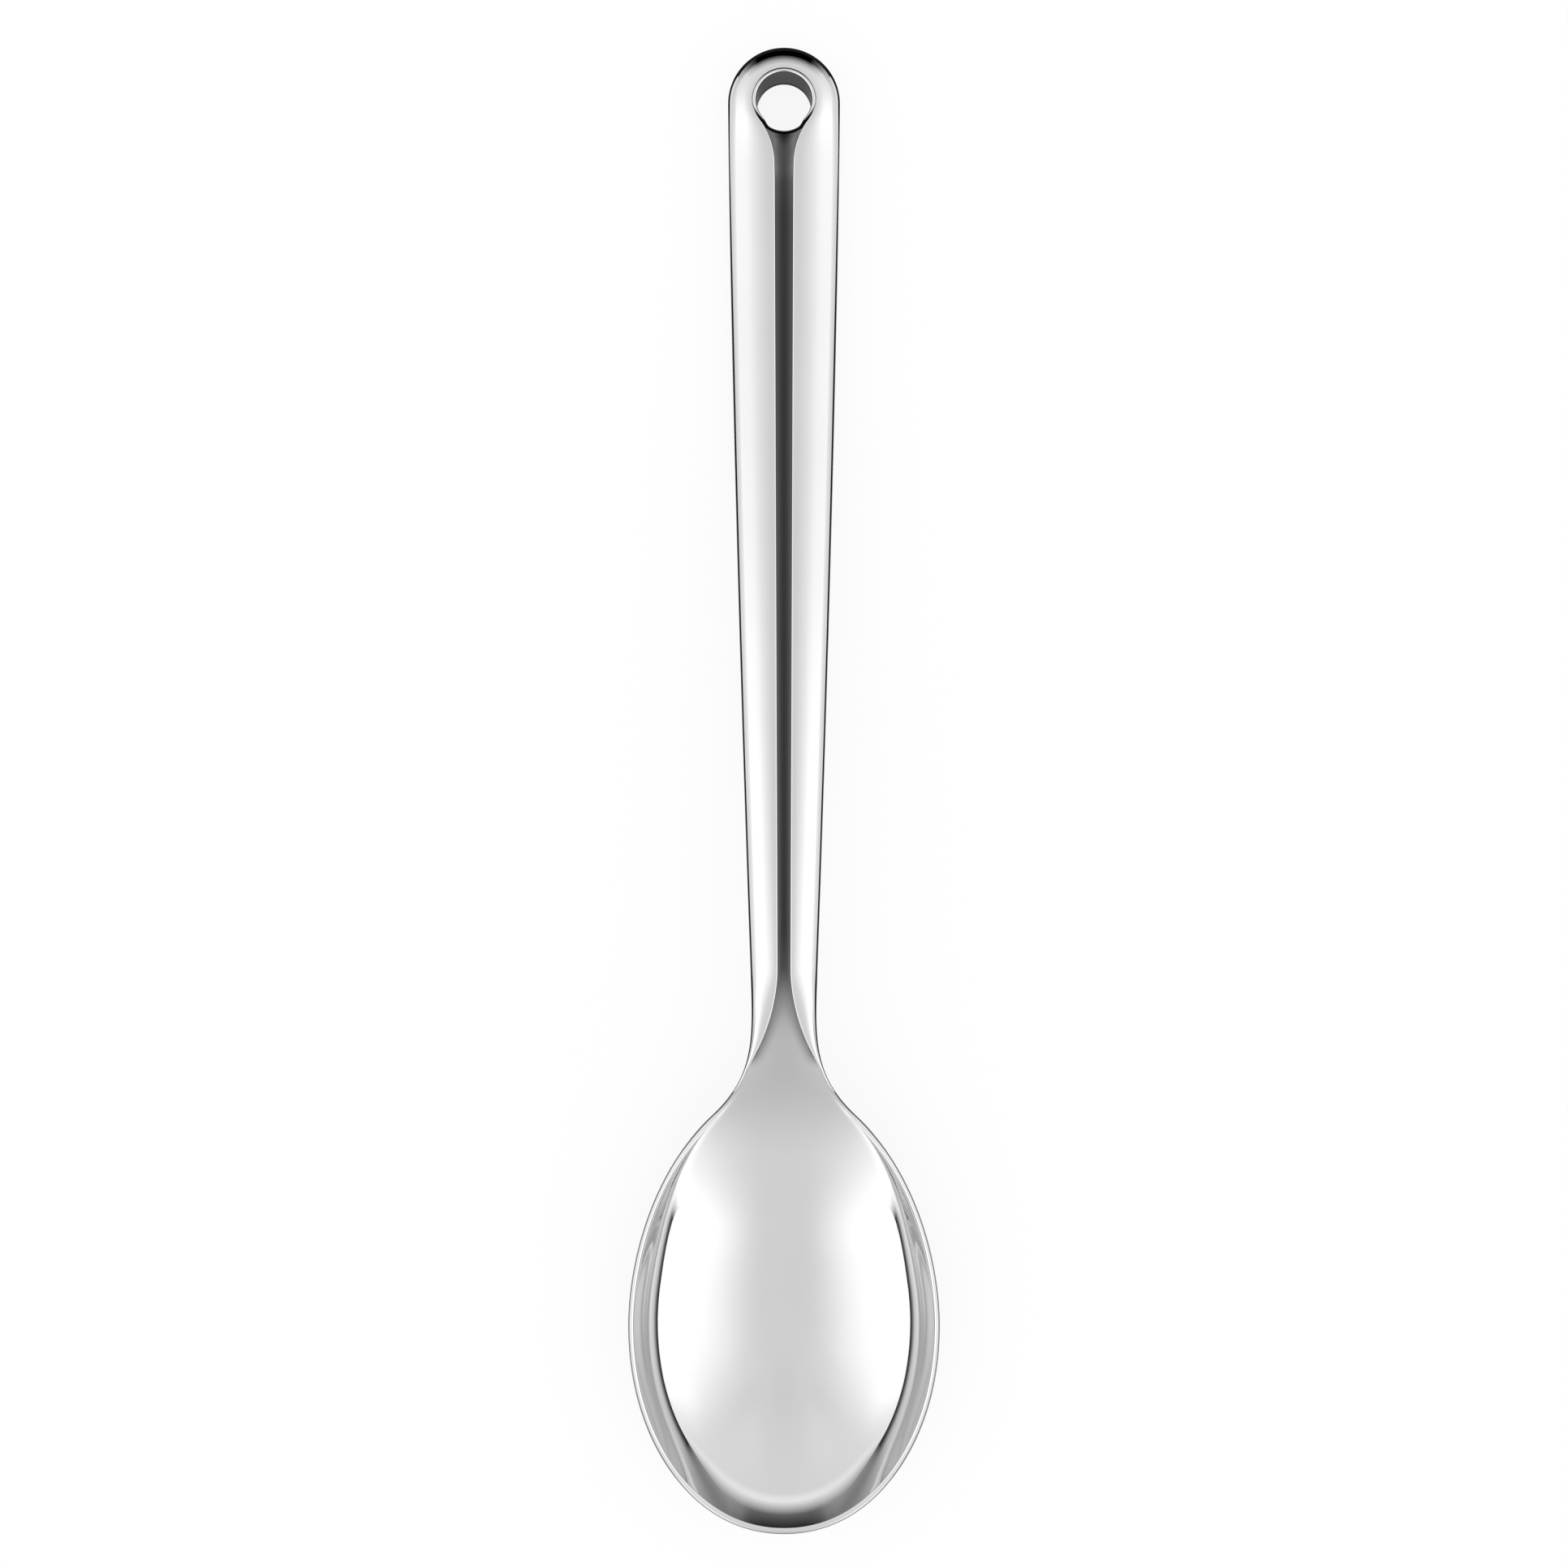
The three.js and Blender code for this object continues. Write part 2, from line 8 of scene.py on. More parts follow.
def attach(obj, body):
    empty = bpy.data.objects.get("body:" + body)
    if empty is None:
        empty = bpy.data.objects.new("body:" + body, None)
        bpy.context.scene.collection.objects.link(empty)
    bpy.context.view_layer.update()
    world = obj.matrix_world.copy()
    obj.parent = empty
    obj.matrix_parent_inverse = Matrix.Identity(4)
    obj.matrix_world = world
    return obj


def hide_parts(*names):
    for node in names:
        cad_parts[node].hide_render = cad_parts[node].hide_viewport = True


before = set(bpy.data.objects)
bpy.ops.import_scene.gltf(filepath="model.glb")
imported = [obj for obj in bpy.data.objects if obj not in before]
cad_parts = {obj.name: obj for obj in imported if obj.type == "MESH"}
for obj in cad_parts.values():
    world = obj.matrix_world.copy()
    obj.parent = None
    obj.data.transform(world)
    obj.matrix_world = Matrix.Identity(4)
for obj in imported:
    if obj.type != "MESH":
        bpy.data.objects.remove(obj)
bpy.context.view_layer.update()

# Bowl and tang
# One blank of stainless sheet, pressed to an egg-shaped bowl, a neck and a gutter-shaped tang. The
# tang is the floor of the handle's slot and ends in a flat ring round the eyelet. The bowl is
# mirror polished; inside the slot the steel is satin, and its colour is darkened with painted shade.
LENGTH = 0.300
BOWL_WIDTH = 0.0632
BOWL_DEPTH = 0.013
BOWL_TIP_REACH = 0.042
BOWL_SHOULDER_REACH = 0.049
TIP_ROUNDNESS = 2.08
SHOULDER_ROUNDNESS = 1.85
TIP_LIFT = 0.001
TIP_FLOOR_SHARE = 0.6
TIP_WALL_POWER = 3.8
SIDE_FLOOR_SHARE = 0.45
SIDE_WALL_POWER = 12
SHOULDER_WALL_POWER = 28
WALL_NARROW_REACH = 0.008
WALL_NARROW_LENGTH = 0.023
REST_FLAT_WIDTH = 0.007
REST_FLAT_LENGTH = 0.022
FLAT_EASE = 0.08
SHEET = 0.0012
RIM_LAND_DROP = 0.0007
RIM_ROUND = 0.0008
NECK_FLARE_LENGTH = 0.0296
NECK_HEIGHT = 0.016
SHOULDER_JOIN_REACH = 0.0425
KEEL_RISE_REACH = 0.050
HANDLE_END_WIDTH = 0.0227
HANDLE_NECK_WIDTH = 0.0134
HANDLE_TAPER_POWER = 1.36
LEVEL_END_LENGTH = 0.026
END_SEAM_HEIGHT = 0.0066
FRONT_RISE_END = 0.0032
FRONT_RISE_NECK = 0.0025
SHELL_SHEET = 0.001
SLOT_END_WIDTH = 0.0037
SLOT_NECK_WIDTH = 0.0024
SLOT_MOUTH_LENGTH = 0.0203
KEYHOLE_FILLET = 0.015
PRONG_TIP_WIDTH = 0.0006
HOLE_RADIUS = 0.00615
TANG_LEVEL = -0.001
TANG_OVERLAP = 0.001
TANG_EDGE = 0.0005
TANG_RING_WIDTH = 0.0022
EDGE_GAP = 0.0008
FIT = 0.0002
SIDE_FIT = 0.0004

tip_y = -LENGTH / 2
widest_y = tip_y + BOWL_TIP_REACH
join_y = widest_y + SHOULDER_JOIN_REACH
flare_top_y = join_y + NECK_FLARE_LENGTH
mouth_y = flare_top_y - SLOT_MOUTH_LENGTH
keel_top_y = widest_y + KEEL_RISE_REACH
narrow_y = widest_y + WALL_NARROW_REACH
end_radius = HANDLE_END_WIDTH / 2
hole_y = LENGTH / 2 - end_radius
level_y = hole_y + end_radius - LEVEL_END_LENGTH
ring_radius = HOLE_RADIUS + TANG_RING_WIDTH


def lerp(a, b, share):
    return a + (b - a) * share


def share_of(value, start, end):
    return min(1, max(0, (value - start) / (end - start)))


def smoothstep(value, start, end):
    t = share_of(value, start, end)
    return t * t * (3 - 2 * t)


def smootherstep(value, start, end):
    t = share_of(value, start, end)
    return t * t * t * (t * (6 * t - 15) + 10)


def superellipse(share, power):
    return max(0, 1 - min(1, max(0, share)) ** power) ** (1 / power)


def circle_half(radius, offset):
    return math.sqrt(max(0, radius**2 - offset**2))


def shoulder_half(y):
    share = (y - widest_y) / BOWL_SHOULDER_REACH
    return BOWL_WIDTH / 2 * superellipse(share, SHOULDER_ROUNDNESS)


def taper_share(y):
    return max(0, (hole_y - y) / (hole_y - flare_top_y)) ** HANDLE_TAPER_POWER


def taper_half(y):
    return lerp(HANDLE_END_WIDTH, HANDLE_NECK_WIDTH, taper_share(y)) / 2


SLOPE_STEP = 0.00001


def slope_of(curve, at):
    return (curve(at + SLOPE_STEP) - curve(at - SLOPE_STEP)) / (2 * SLOPE_STEP)


flare_rise = shoulder_half(join_y) - taper_half(join_y)
flare_slope = slope_of(taper_half, join_y) - slope_of(shoulder_half, join_y)
flare_power = flare_slope * NECK_FLARE_LENGTH / flare_rise


def half_width(y):
    """Half the width of the spoon's outline, from the bowl's tip to the round end of the handle."""
    if y <= widest_y:
        return BOWL_WIDTH / 2 * superellipse((widest_y - y) / BOWL_TIP_REACH, TIP_ROUNDNESS)
    if y <= join_y:
        return shoulder_half(y)
    if y <= hole_y:
        flare = share_of(flare_top_y - y, 0, NECK_FLARE_LENGTH)
        return taper_half(y) + flare_rise * flare**flare_power
    return circle_half(end_radius, y - hole_y)


fillet_x = SLOT_END_WIDTH / 2 + KEYHOLE_FILLET
fillet_y = hole_y - circle_half(HOLE_RADIUS + KEYHOLE_FILLET, fillet_x)
fillet_end_y = lerp(hole_y, fillet_y, HOLE_RADIUS / (HOLE_RADIUS + KEYHOLE_FILLET))
mouth_flare = half_width(mouth_y) - PRONG_TIP_WIDTH - SLOT_NECK_WIDTH / 2


def slot_straight(y):
    return lerp(SLOT_NECK_WIDTH, SLOT_END_WIDTH, share_of(y, flare_top_y, hole_y)) / 2


def slot_half(y):
    """Half the width of the keyhole slot: flared mouth, straight run, fillet and round end."""
    if y >= fillet_end_y:
        return circle_half(HOLE_RADIUS, y - hole_y)
    if y >= fillet_y:
        return fillet_x - circle_half(KEYHOLE_FILLET, y - fillet_y)
    return slot_straight(y) + mouth_flare * (max(0, flare_top_y - y) / SLOT_MOUTH_LENGTH) ** 2


def seam_height(y):
    """Height of the bowl's rim, which runs on as the seam along the handle's sides."""
    if y <= widest_y:
        return BOWL_DEPTH + TIP_LIFT * ((widest_y - y) / BOWL_TIP_REACH) ** 3
    if y <= flare_top_y:
        return lerp(BOWL_DEPTH, NECK_HEIGHT, smootherstep(y, widest_y, flare_top_y))
    return lerp(NECK_HEIGHT, END_SEAM_HEIGHT, smoothstep(y, flare_top_y, level_y))


def keel_height(y):
    """Underside of the sheet on the centre line: flat under the bowl, then up into the handle."""
    rise = smootherstep(y, widest_y + REST_FLAT_LENGTH / 2, keel_top_y)
    return (seam_height(y) + TANG_LEVEL) * rise


def front_rise(y):
    """How high the front shell's lips stand over the seam, fading towards the prong tips."""
    rise = lerp(FRONT_RISE_END, FRONT_RISE_NECK, taper_share(y))
    if y >= fillet_y:
        return rise
    straight = slot_straight(y)
    return rise * superellipse((slot_half(y) - straight) / (half_width(y) - straight), 2)


def front_sheet(y):
    lip_width = half_width(y) - slot_half(y) if y < hole_y else end_radius - HOLE_RADIUS
    return min(SHELL_SHEET, lip_width / 2, front_rise(y) / 2)


def dish_rise(share, y, towards_tip=0):
    """Share of the rise from floor to rim at a share of the way out, from dish to gutter."""
    flat = REST_FLAT_WIDTH / BOWL_WIDTH
    past_flat = (share - flat + math.hypot(share - flat, FLAT_EASE)) / 2
    wall = min(1, past_flat / (1 - flat))
    floor = lerp(SIDE_FLOOR_SHARE, TIP_FLOOR_SHARE, towards_tip)
    narrowing = share_of(y, narrow_y, narrow_y + WALL_NARROW_LENGTH) ** 2
    side_power = lerp(SIDE_WALL_POWER, SHOULDER_WALL_POWER, narrowing)
    power = lerp(side_power, TIP_WALL_POWER, towards_tip)
    dish = floor * wall**2 + (1 - floor) * wall**power
    return lerp(dish, share**2, smootherstep(y, join_y, mouth_y))


def bowl_underside(x, y):
    rim = seam_height(y) - RIM_LAND_DROP
    if y >= widest_y:
        return lerp(keel_height(y), rim, dish_rise(abs(x) / half_width(y), y))
    across = (abs(x) / (BOWL_WIDTH / 2)) ** TIP_ROUNDNESS
    along = ((widest_y - y) / BOWL_TIP_REACH) ** TIP_ROUNDNESS
    out = (across + along) ** (1 / TIP_ROUNDNESS)
    return lerp(keel_height(y), rim, dish_rise(out, y, smootherstep(along / (across + along), 0, 1)))


def bowl_faces(x, y):
    """Lower and upper face of the sheet in the bowl, a sheet's thickness apart."""
    lower = Vector((x, y, bowl_underside(x, y)))
    slope_x = slope_of(lambda at: bowl_underside(at, y), x)
    slope_y = slope_of(lambda at: bowl_underside(x, at), y)
    normal = Vector((-slope_x, -slope_y, 1)).normalized()
    upright = Vector((0, 0, 1))
    normal = normal.lerp(upright, smootherstep(y, join_y, mouth_y)).normalized()
    return lower, lower + normal * SHEET


def spaced(start, end, count):
    """Evenly spaced stations from start to end, with both."""
    return [lerp(start, end, i / count) for i in range(count + 1)]


ring_start_y = next(
    y
    for y in spaced(hole_y - ring_radius, hole_y, 400)
    if circle_half(ring_radius, y - hole_y) >= slot_half(y) + TANG_OVERLAP
)


MOUTH_SHEET = 0.00035
MOUTH_BLEND = 0.014
MOUTH_RUN_OUT = 0.004


def back_sheet(y):
    return lerp(MOUTH_SHEET, SHELL_SHEET, smootherstep(y, mouth_y, mouth_y + MOUTH_BLEND))


def tang_half(y):
    """Half the width of the tang, which draws in from the neck's edges to lie under the lips."""
    wall = max(front_sheet(y), back_sheet(y))
    inside = min(slot_half(y) + TANG_OVERLAP, half_width(y) - wall - SIDE_FIT)
    return lerp(half_width(y), inside, smootherstep(y, mouth_y, mouth_y + MOUTH_RUN_OUT))


def tang_faces(share, y):
    """Lower and upper face of the tang: a gutter with thin edges turned up under the lips."""
    floor = keel_height(y)
    under = tang_half(y) - slot_half(y)
    lip = half_width(y) - front_sheet(y) - slot_half(y)
    lip_height = (front_rise(y) - front_sheet(y)) * superellipse(under / lip, 2)
    to_ring = smootherstep(y, ring_start_y - ring_radius, ring_start_y)
    at_mouth = bowl_underside(tang_half(y), y) + SHEET
    under_lip = seam_height(y) + lerp(lip_height - EDGE_GAP, TANG_LEVEL + SHEET, to_ring)
    edge = lerp(at_mouth, under_lip, smootherstep(y, mouth_y, flare_top_y))
    edge_sheet = lerp(SHEET, TANG_EDGE, smootherstep(y, mouth_y, flare_top_y) * (1 - to_ring))
    rise = dish_rise(share, y)
    x = share * tang_half(y)
    lower = Vector((x, y, lerp(floor, edge - edge_sheet, rise)))
    return lower, Vector((x, y, lerp(floor + SHEET, edge, rise)))


def ring_faces(share, turn):
    """Lower and upper face of the flat ring that closes round the eyelet."""
    start = math.asin((ring_start_y - hole_y) / ring_radius)
    inner = lerp(-math.pi / 2, math.pi / 2, turn)
    outer = lerp(start, math.pi / 2, turn)
    x = lerp(HOLE_RADIUS * math.cos(inner), ring_radius * math.cos(outer), share)
    y = hole_y + lerp(HOLE_RADIUS * math.sin(inner), ring_radius * math.sin(outer), share)
    z = END_SEAM_HEIGHT + TANG_LEVEL
    return Vector((x, y, z)), Vector((x, y, z + SHEET))


def tip_faces(share, turn):
    """Lower and upper face in the tip half of the bowl, along a line out from its middle."""
    x = BOWL_WIDTH / 2 * share * math.sin(turn) ** (2 / TIP_ROUNDNESS)
    y = widest_y - BOWL_TIP_REACH * share * math.cos(turn) ** (2 / TIP_ROUNDNESS)
    return bowl_faces(x, y)


def shoulder_faces(share, y):
    return bowl_faces(share * half_width(y), y)


def grid_piece(name, rows, across, place):
    """A closed sheet-metal piece: a grid with one row for each station, set in place row by row."""
    bm = bmesh.new()
    bmesh.ops.create_grid(bm, x_segments=len(rows) - 1, y_segments=across, size=0.5)
    for vert in bm.verts:
        row = rows[round((vert.co.x + 0.5) * (len(rows) - 1))]
        vert.co = place(row, vert.co.y + 0.5)
    bmesh.ops.remove_doubles(bm, verts=bm.verts, dist=1e-7)
    open_edges = [edge for edge in bm.edges if edge.is_boundary]
    at_hole = [edge for edge in open_edges if edge.verts[0].co.y > hole_y - end_radius]
    if at_hole:
        bmesh.ops.bridge_loops(bm, edges=at_hole)
    bmesh.ops.holes_fill(bm, edges=[edge for edge in open_edges if edge.is_boundary])
    bmesh.ops.recalc_face_normals(bm, faces=bm.faces)
    return piece_from(bm, name)


CREASE_ANGLE = math.radians(40)


def piece_from(bm, name):
    mesh = bpy.data.meshes.new(name)
    bm.to_mesh(mesh)
    bm.free()
    mesh.shade_smooth()
    mesh.set_sharp_from_angle(angle=CREASE_ANGLE)
    piece = bpy.data.objects.new(name, mesh)
    bpy.context.scene.collection.objects.link(piece)
    return piece


def both_sides(half):
    """Rows from the far end of the left side, round the middle, to the far end of the right."""
    return [(-1, station) for station in reversed(half)] + [(1, station) for station in half[1:]]


UPPER_END = 0.46
LOWER_START = 0.54
RIM_SQUARENESS = 0.9
NEAR_RIM = 0.99


def sheet_point(row, t):
    """A point round the sheet's section: out over the upper face, round the rim, back below."""
    side, (faces, value) = row
    lower, upper = faces(1, value)
    last_lower, last_upper = faces(NEAR_RIM, value)
    outward = (lower + upper - last_lower - last_upper).normalized()
    reach = max(1e-6, (lower - faces(0, value)[0]).xy.length)
    end = 1 - RIM_ROUND * outward.xy.length / reach
    if t <= UPPER_END:
        point = faces(end * math.sin(math.pi / 2 * t / UPPER_END), value)[1]
    elif t >= LOWER_START:
        point = faces(end * math.sin(math.pi / 2 * (1 - t) / (1 - LOWER_START)), value)[0]
    else:
        turn = math.pi * (t - UPPER_END) / (LOWER_START - UPPER_END)
        lower, upper = faces(end, value)
        up = math.copysign(abs(math.cos(turn)) ** RIM_SQUARENESS, math.cos(turn))
        out = math.sin(turn) ** RIM_SQUARENESS
        point = (lower + upper) / 2 + (upper - lower) / 2 * up + outward * RIM_ROUND * out
    return Vector((side * point.x, point.y, point.z))


sheet_rows = both_sides(
    [(tip_faces, turn) for turn in spaced(0, math.pi / 2, 56)]
    + [(shoulder_faces, y) for y in spaced(widest_y, join_y, 36)[1:]]
    + [(shoulder_faces, y) for y in spaced(join_y, mouth_y, 16)[1:]]
    + [(tang_faces, y) for y in spaced(mouth_y, flare_top_y, 24)[1:]]
    + [(tang_faces, y) for y in spaced(flare_top_y, ring_start_y - ring_radius, 24)[1:]]
    + [(tang_faces, y) for y in spaced(ring_start_y - ring_radius, ring_start_y, 10)[1:]]
    + [(ring_faces, turn) for turn in spaced(0, 1, 24)]
)
bowl_and_tang = grid_piece("bowl_and_tang_sheet", sheet_rows, 100, sheet_point)


def add_node(tree, kind, inputs=None, **settings):
    """A shader node with its settings; each input is a value or another node's output."""
    node = tree.nodes.new(kind)
    for name, value in settings.items():
        setattr(node, name, value)
    for socket, value in (inputs or {}).items():
        if isinstance(value, bpy.types.NodeSocket):
            tree.links.new(value, node.inputs[socket])
        else:
            node.inputs[socket].default_value = value
    return node


def grey_ramp(tree, factor, stops, interpolation="LINEAR"):
    ramp = add_node(tree, "ShaderNodeValToRGB", {"Fac": factor})
    ramp.color_ramp.interpolation = interpolation
    elements = ramp.color_ramp.elements
    while len(elements) < len(stops):
        elements.new(0.5)
    for element, (at, grey) in zip(elements, stops):
        element.position = at
        element.color = (grey, grey, grey, 1)
    return ramp.outputs["Color"]


def steel(name, light, dark, roughness_low, roughness_high, line_stretch, line_depth):
    """Polished stainless steel: faint buffing lines, handling smudges and uneven brightness."""
    material = bpy.data.materials.new(name)
    material.use_nodes = True
    tree = material.node_tree
    shader = tree.nodes["Principled BSDF"]
    shader.inputs["Metallic"].default_value = 1
    place = add_node(tree, "ShaderNodeTexCoord").outputs["Object"]
    stretched = add_node(tree, "ShaderNodeMapping", {"Vector": place, "Scale": line_stretch})
    lines = add_node(
        tree, "ShaderNodeTexNoise", {"Vector": stretched.outputs[0], "Scale": 900, "Detail": 4}
    )
    smudges = add_node(tree, "ShaderNodeTexNoise", {"Vector": place, "Scale": 60, "Detail": 3})
    tone = add_node(
        tree,
        "ShaderNodeMix",
        {"Factor": smudges.outputs["Fac"], 6: (*dark, 1), 7: (*light, 1)},
        data_type="RGBA",
    )
    wear = add_node(
        tree,
        "ShaderNodeMath",
        {0: lines.outputs["Fac"], 1: smudges.outputs["Fac"]},
        operation="MULTIPLY",
    )
    gloss = add_node(
        tree,
        "ShaderNodeMapRange",
        {
            "Value": wear.outputs[0],
            "From Min": 0.1,
            "From Max": 0.45,
            "To Min": roughness_low,
            "To Max": roughness_high,
        },
    )
    grooves = add_node(
        tree,
        "ShaderNodeBump",
        {"Height": lines.outputs["Fac"], "Strength": line_depth, "Distance": 0.00002},
    )
    tree.links.new(tone.outputs[2], shader.inputs["Base Color"])
    tree.links.new(gloss.outputs[0], shader.inputs["Roughness"])
    tree.links.new(grooves.outputs[0], shader.inputs["Normal"])
    return material


BOWL_LIGHT = (0.76, 0.76, 0.76)
BOWL_DARK = (0.72, 0.72, 0.72)
SLOT_ROUGHNESS = 0.35
NECK_TONE = 0.76
NECK_DARK_START = -0.076
NECK_DARK_END = -0.056
# Where the slot's painted shade starts and how dark it is, with painted light near the slot's round
# end
SLOT_SHADE_START = -0.051
SLOT_SHADE_END = -0.0325
SLOT_DARK = 0.06
SLOT_EDGE = 0.15
SLOT_END_LIGHT = 1.8
SLOT_END_RUN = 0.005
LIP_SHADE = 0.65
LIP_SHADE_WIDTH = 0.0026
LIP_SHADE_FALL = 1.6
HOLE_SHADE = 0.02
HOLE_SHADE_WIDTH = 0.0035


# Painted dark reflection along the rim's outer edge
RIM_PAINTED_DARK = 0.35
RIM_DARK_WIDTH = 0.0003
RIM_DARK_FADE = 0.0003


def edge_gap(x, y):
    """How far inside the spoon's outline a place on the sheet is."""
    if y >= widest_y:
        return half_width(y) - abs(x)
    across = (abs(x) / (BOWL_WIDTH / 2)) ** TIP_ROUNDNESS
    along = ((widest_y - y) / BOWL_TIP_REACH) ** TIP_ROUNDNESS
    return (1 - (across + along) ** (1 / TIP_ROUNDNESS)) * BOWL_WIDTH / 2


def sheet_painted_shade(x, y, z):
    """Sheet brightness: darker at the neck; painted shade in the slot, by the lips, at the rim and
    hole.
    """
    half = min(slot_half(min(y, fillet_y)), half_width(y))
    # Painted shade along the lips' inner edges, over the neck floor
    by_lip = (1 - share_of(half - abs(x), 0, LIP_SHADE_WIDTH)) ** LIP_SHADE_FALL
    by_lip *= smoothstep(y, mouth_y, mouth_y + LIP_SHADE_WIDTH)
    # The neck is made darker by a plain factor
    neck = lerp(1, NECK_TONE, smoothstep(y, NECK_DARK_START, NECK_DARK_END))
    neck *= 1 - LIP_SHADE * by_lip
    # Painted dark reflection at the rim's outer edge
    past_edge = share_of(edge_gap(x, y), RIM_DARK_WIDTH, RIM_DARK_WIDTH + RIM_DARK_FADE)
    neck *= lerp(RIM_PAINTED_DARK, 1, past_edge)
    # Painted shade down the slot: darkest in the middle, lighter at its edges and towards the round
    # end
    slot = lerp(SLOT_DARK, SLOT_EDGE, min(1, abs(x) / half) ** 2)
    slot *= lerp(1, SLOT_END_LIGHT, smoothstep(y, fillet_y - SLOT_END_RUN, fillet_y))
    # Painted shade round the hole's edge, running down into the slot
    from_hole = math.hypot(x, y - hole_y) - HOLE_RADIUS + abs(x)
    slot = lerp(HOLE_SHADE, slot, smoothstep(from_hole, 0, HOLE_SHADE_WIDTH))
    return lerp(neck, slot, smoothstep(y, SLOT_SHADE_START, SLOT_SHADE_END))


def paint_shade_by_tone(piece, material, tone_at):
    """Darken a piece's steel by its tone, a painted shade for each place on it; gives the tone back.
    """
    values = piece.data.attributes.new("tone", "FLOAT", "POINT")
    values.data.foreach_set("value", [tone_at(*vert.co) for vert in piece.data.vertices])
    tree = material.node_tree
    colour = tree.nodes["Principled BSDF"].inputs["Base Color"]
    tone = add_node(tree, "ShaderNodeAttribute", attribute_name="tone").outputs["Fac"]
    shade_painted = add_node(
        tree,
        "ShaderNodeMix",
        {"Factor": 1.0, 6: colour.links[0].from_socket, 7: tone},
        data_type="RGBA",
        blend_type="MULTIPLY",
    )
    tree.links.new(shade_painted.outputs[2], colour)
    return tone


bowl_steel = steel("bowl_steel", BOWL_LIGHT, BOWL_DARK, 0.03, 0.07, (1, 0.08, 1), 0.02)
tone = paint_shade_by_tone(bowl_and_tang, bowl_steel, sheet_painted_shade)

# Where the painted shade makes the slot dark, the steel is made satin as well
tree = bowl_steel.node_tree
shader = tree.nodes["Principled BSDF"]
satin = add_node(
    tree,
    "ShaderNodeMapRange",
    {"Value": tone, "From Min": 0.5, "From Max": SLOT_EDGE, "To Min": 0, "To Max": SLOT_ROUGHNESS},
)
rougher = add_node(
    tree,
    "ShaderNodeMath",
    {0: shader.inputs["Roughness"].links[0].from_socket, 1: satin.outputs[0]},
    operation="ADD",
)
tree.links.new(rougher.outputs[0], shader.inputs["Roughness"])
bowl_and_tang.data.materials.append(bowl_steel)
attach(bowl_and_tang, "root")
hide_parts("bowl_and_tang")

# Handle back shell
# The drawn back of the handle in 1 mm stainless sheet. It has a round end, a flat seat for the
# eyelet, and a mouth that is feathered to lie against the underside of the bowl's neck.
BACK_DEPTH_END = 0.0058
BACK_DEPTH_NECK = 0.0034
BACK_FLAT_RUN = 0.040
BACK_FLAT_RADIUS = 0.0074
SEAM_GAP = 0.0004
HOLE_FAN_START = 0.012


def back_depth(y):
    handle = lerp(BACK_DEPTH_END, BACK_DEPTH_NECK, taper_share(y))
    mouth = seam_height(y) - keel_height(y) + FIT + back_sheet(y)
    return lerp(mouth, handle, smootherstep(y, mouth_y, mouth_y + MOUTH_BLEND))


def shell_height(x, y, rise, flat, inset):
    """Height of a shell's surface over the seam; past the hole it turns about the eyelet."""
    across = math.hypot(x, y - hole_y) if y > hole_y else abs(x)
    edge = (end_radius if y > hole_y else half_width(y)) - inset
    return (rise - inset) * superellipse((across - flat) / (edge - flat), 2)


def side_point(y, inset):
    return Vector((half_width(y) - inset, y))


def end_point(radius, turn):
    return Vector((radius * math.cos(turn), hole_y + radius * math.sin(turn)))


def back_station(kind, value):
    """Plan points on the centre line or hole and on the outer edge, as a function of the inset."""
    if kind == "straight":
        return Vector((0, value)), lambda inset: side_point(value, inset)
    if kind == "hole":
        y = lerp(hole_y - HOLE_FAN_START, hole_y, value)
        inner = end_point(HOLE_RADIUS, lerp(-math.pi / 2, 0, value))
        return inner, lambda inset: side_point(y, inset)
    return end_point(HOLE_RADIUS, value), lambda inset: end_point(end_radius - inset, value)


OUTER_END = 0.5


def back_point(row, t):
    """A point round the back shell's section: out over its outer face, then back inside."""
    side, (kind, value) = row
    inner, edge = back_station(kind, value)
    outside = t <= OUTER_END
    share = t / OUTER_END if outside else (1 - t) / (1 - OUTER_END)
    y = edge(0).y
    inset = 0 if outside or (kind == "straight" and value == mouth_y) else back_sheet(min(y, hole_y))
    rise = back_depth(min(y, hole_y))
    turn = share * math.acos(min(1, SEAM_GAP / (rise - inset)))
    plan = inner.lerp(edge(inset), math.sin(turn))
    at_y = min(plan.y, hole_y)
    flat = BACK_FLAT_RADIUS * smootherstep(at_y, hole_y - BACK_FLAT_RUN, hole_y)
    height = shell_height(plan.x, plan.y, back_depth(at_y), flat, inset)
    return Vector((side * plan.x, plan.y, seam_height(plan.y) - max(SEAM_GAP, height)))


back_rows = both_sides(
    [("end", turn) for turn in spaced(math.pi / 2, 0, 28)]
    + [("hole", share) for share in spaced(1, 0, 16)[1:]]
    + [("straight", y) for y in spaced(hole_y - HOLE_FAN_START, hole_y - BACK_FLAT_RUN, 16)]
    + [("straight", y) for y in spaced(hole_y - BACK_FLAT_RUN, flare_top_y, 48)[1:]]
    + [("straight", y) for y in spaced(flare_top_y, mouth_y, 24)[1:]]
)
back_shell = grid_piece("back_shell", back_rows, 80, back_point)
handle_steel = steel("handle_steel", BOWL_LIGHT, BOWL_DARK, 0.03, 0.07, (1, 0.06, 1), 0.02)
back_shell.data.materials.append(handle_steel)
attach(back_shell, "root")
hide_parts("handle_back_shell")

# Handle front shell
# The rounded front of the handle in 1 mm stainless sheet, with the keyhole slot cut down its
# middle. Its two lips run down to thin prongs along the bowl's rim; all edges are eased.
LIP_ROUND = 0.0003
HANDLE_FLATNESS = 2
MOUTH_FLATNESS = 4
MOUTH_FLAT_RUN = 0.008


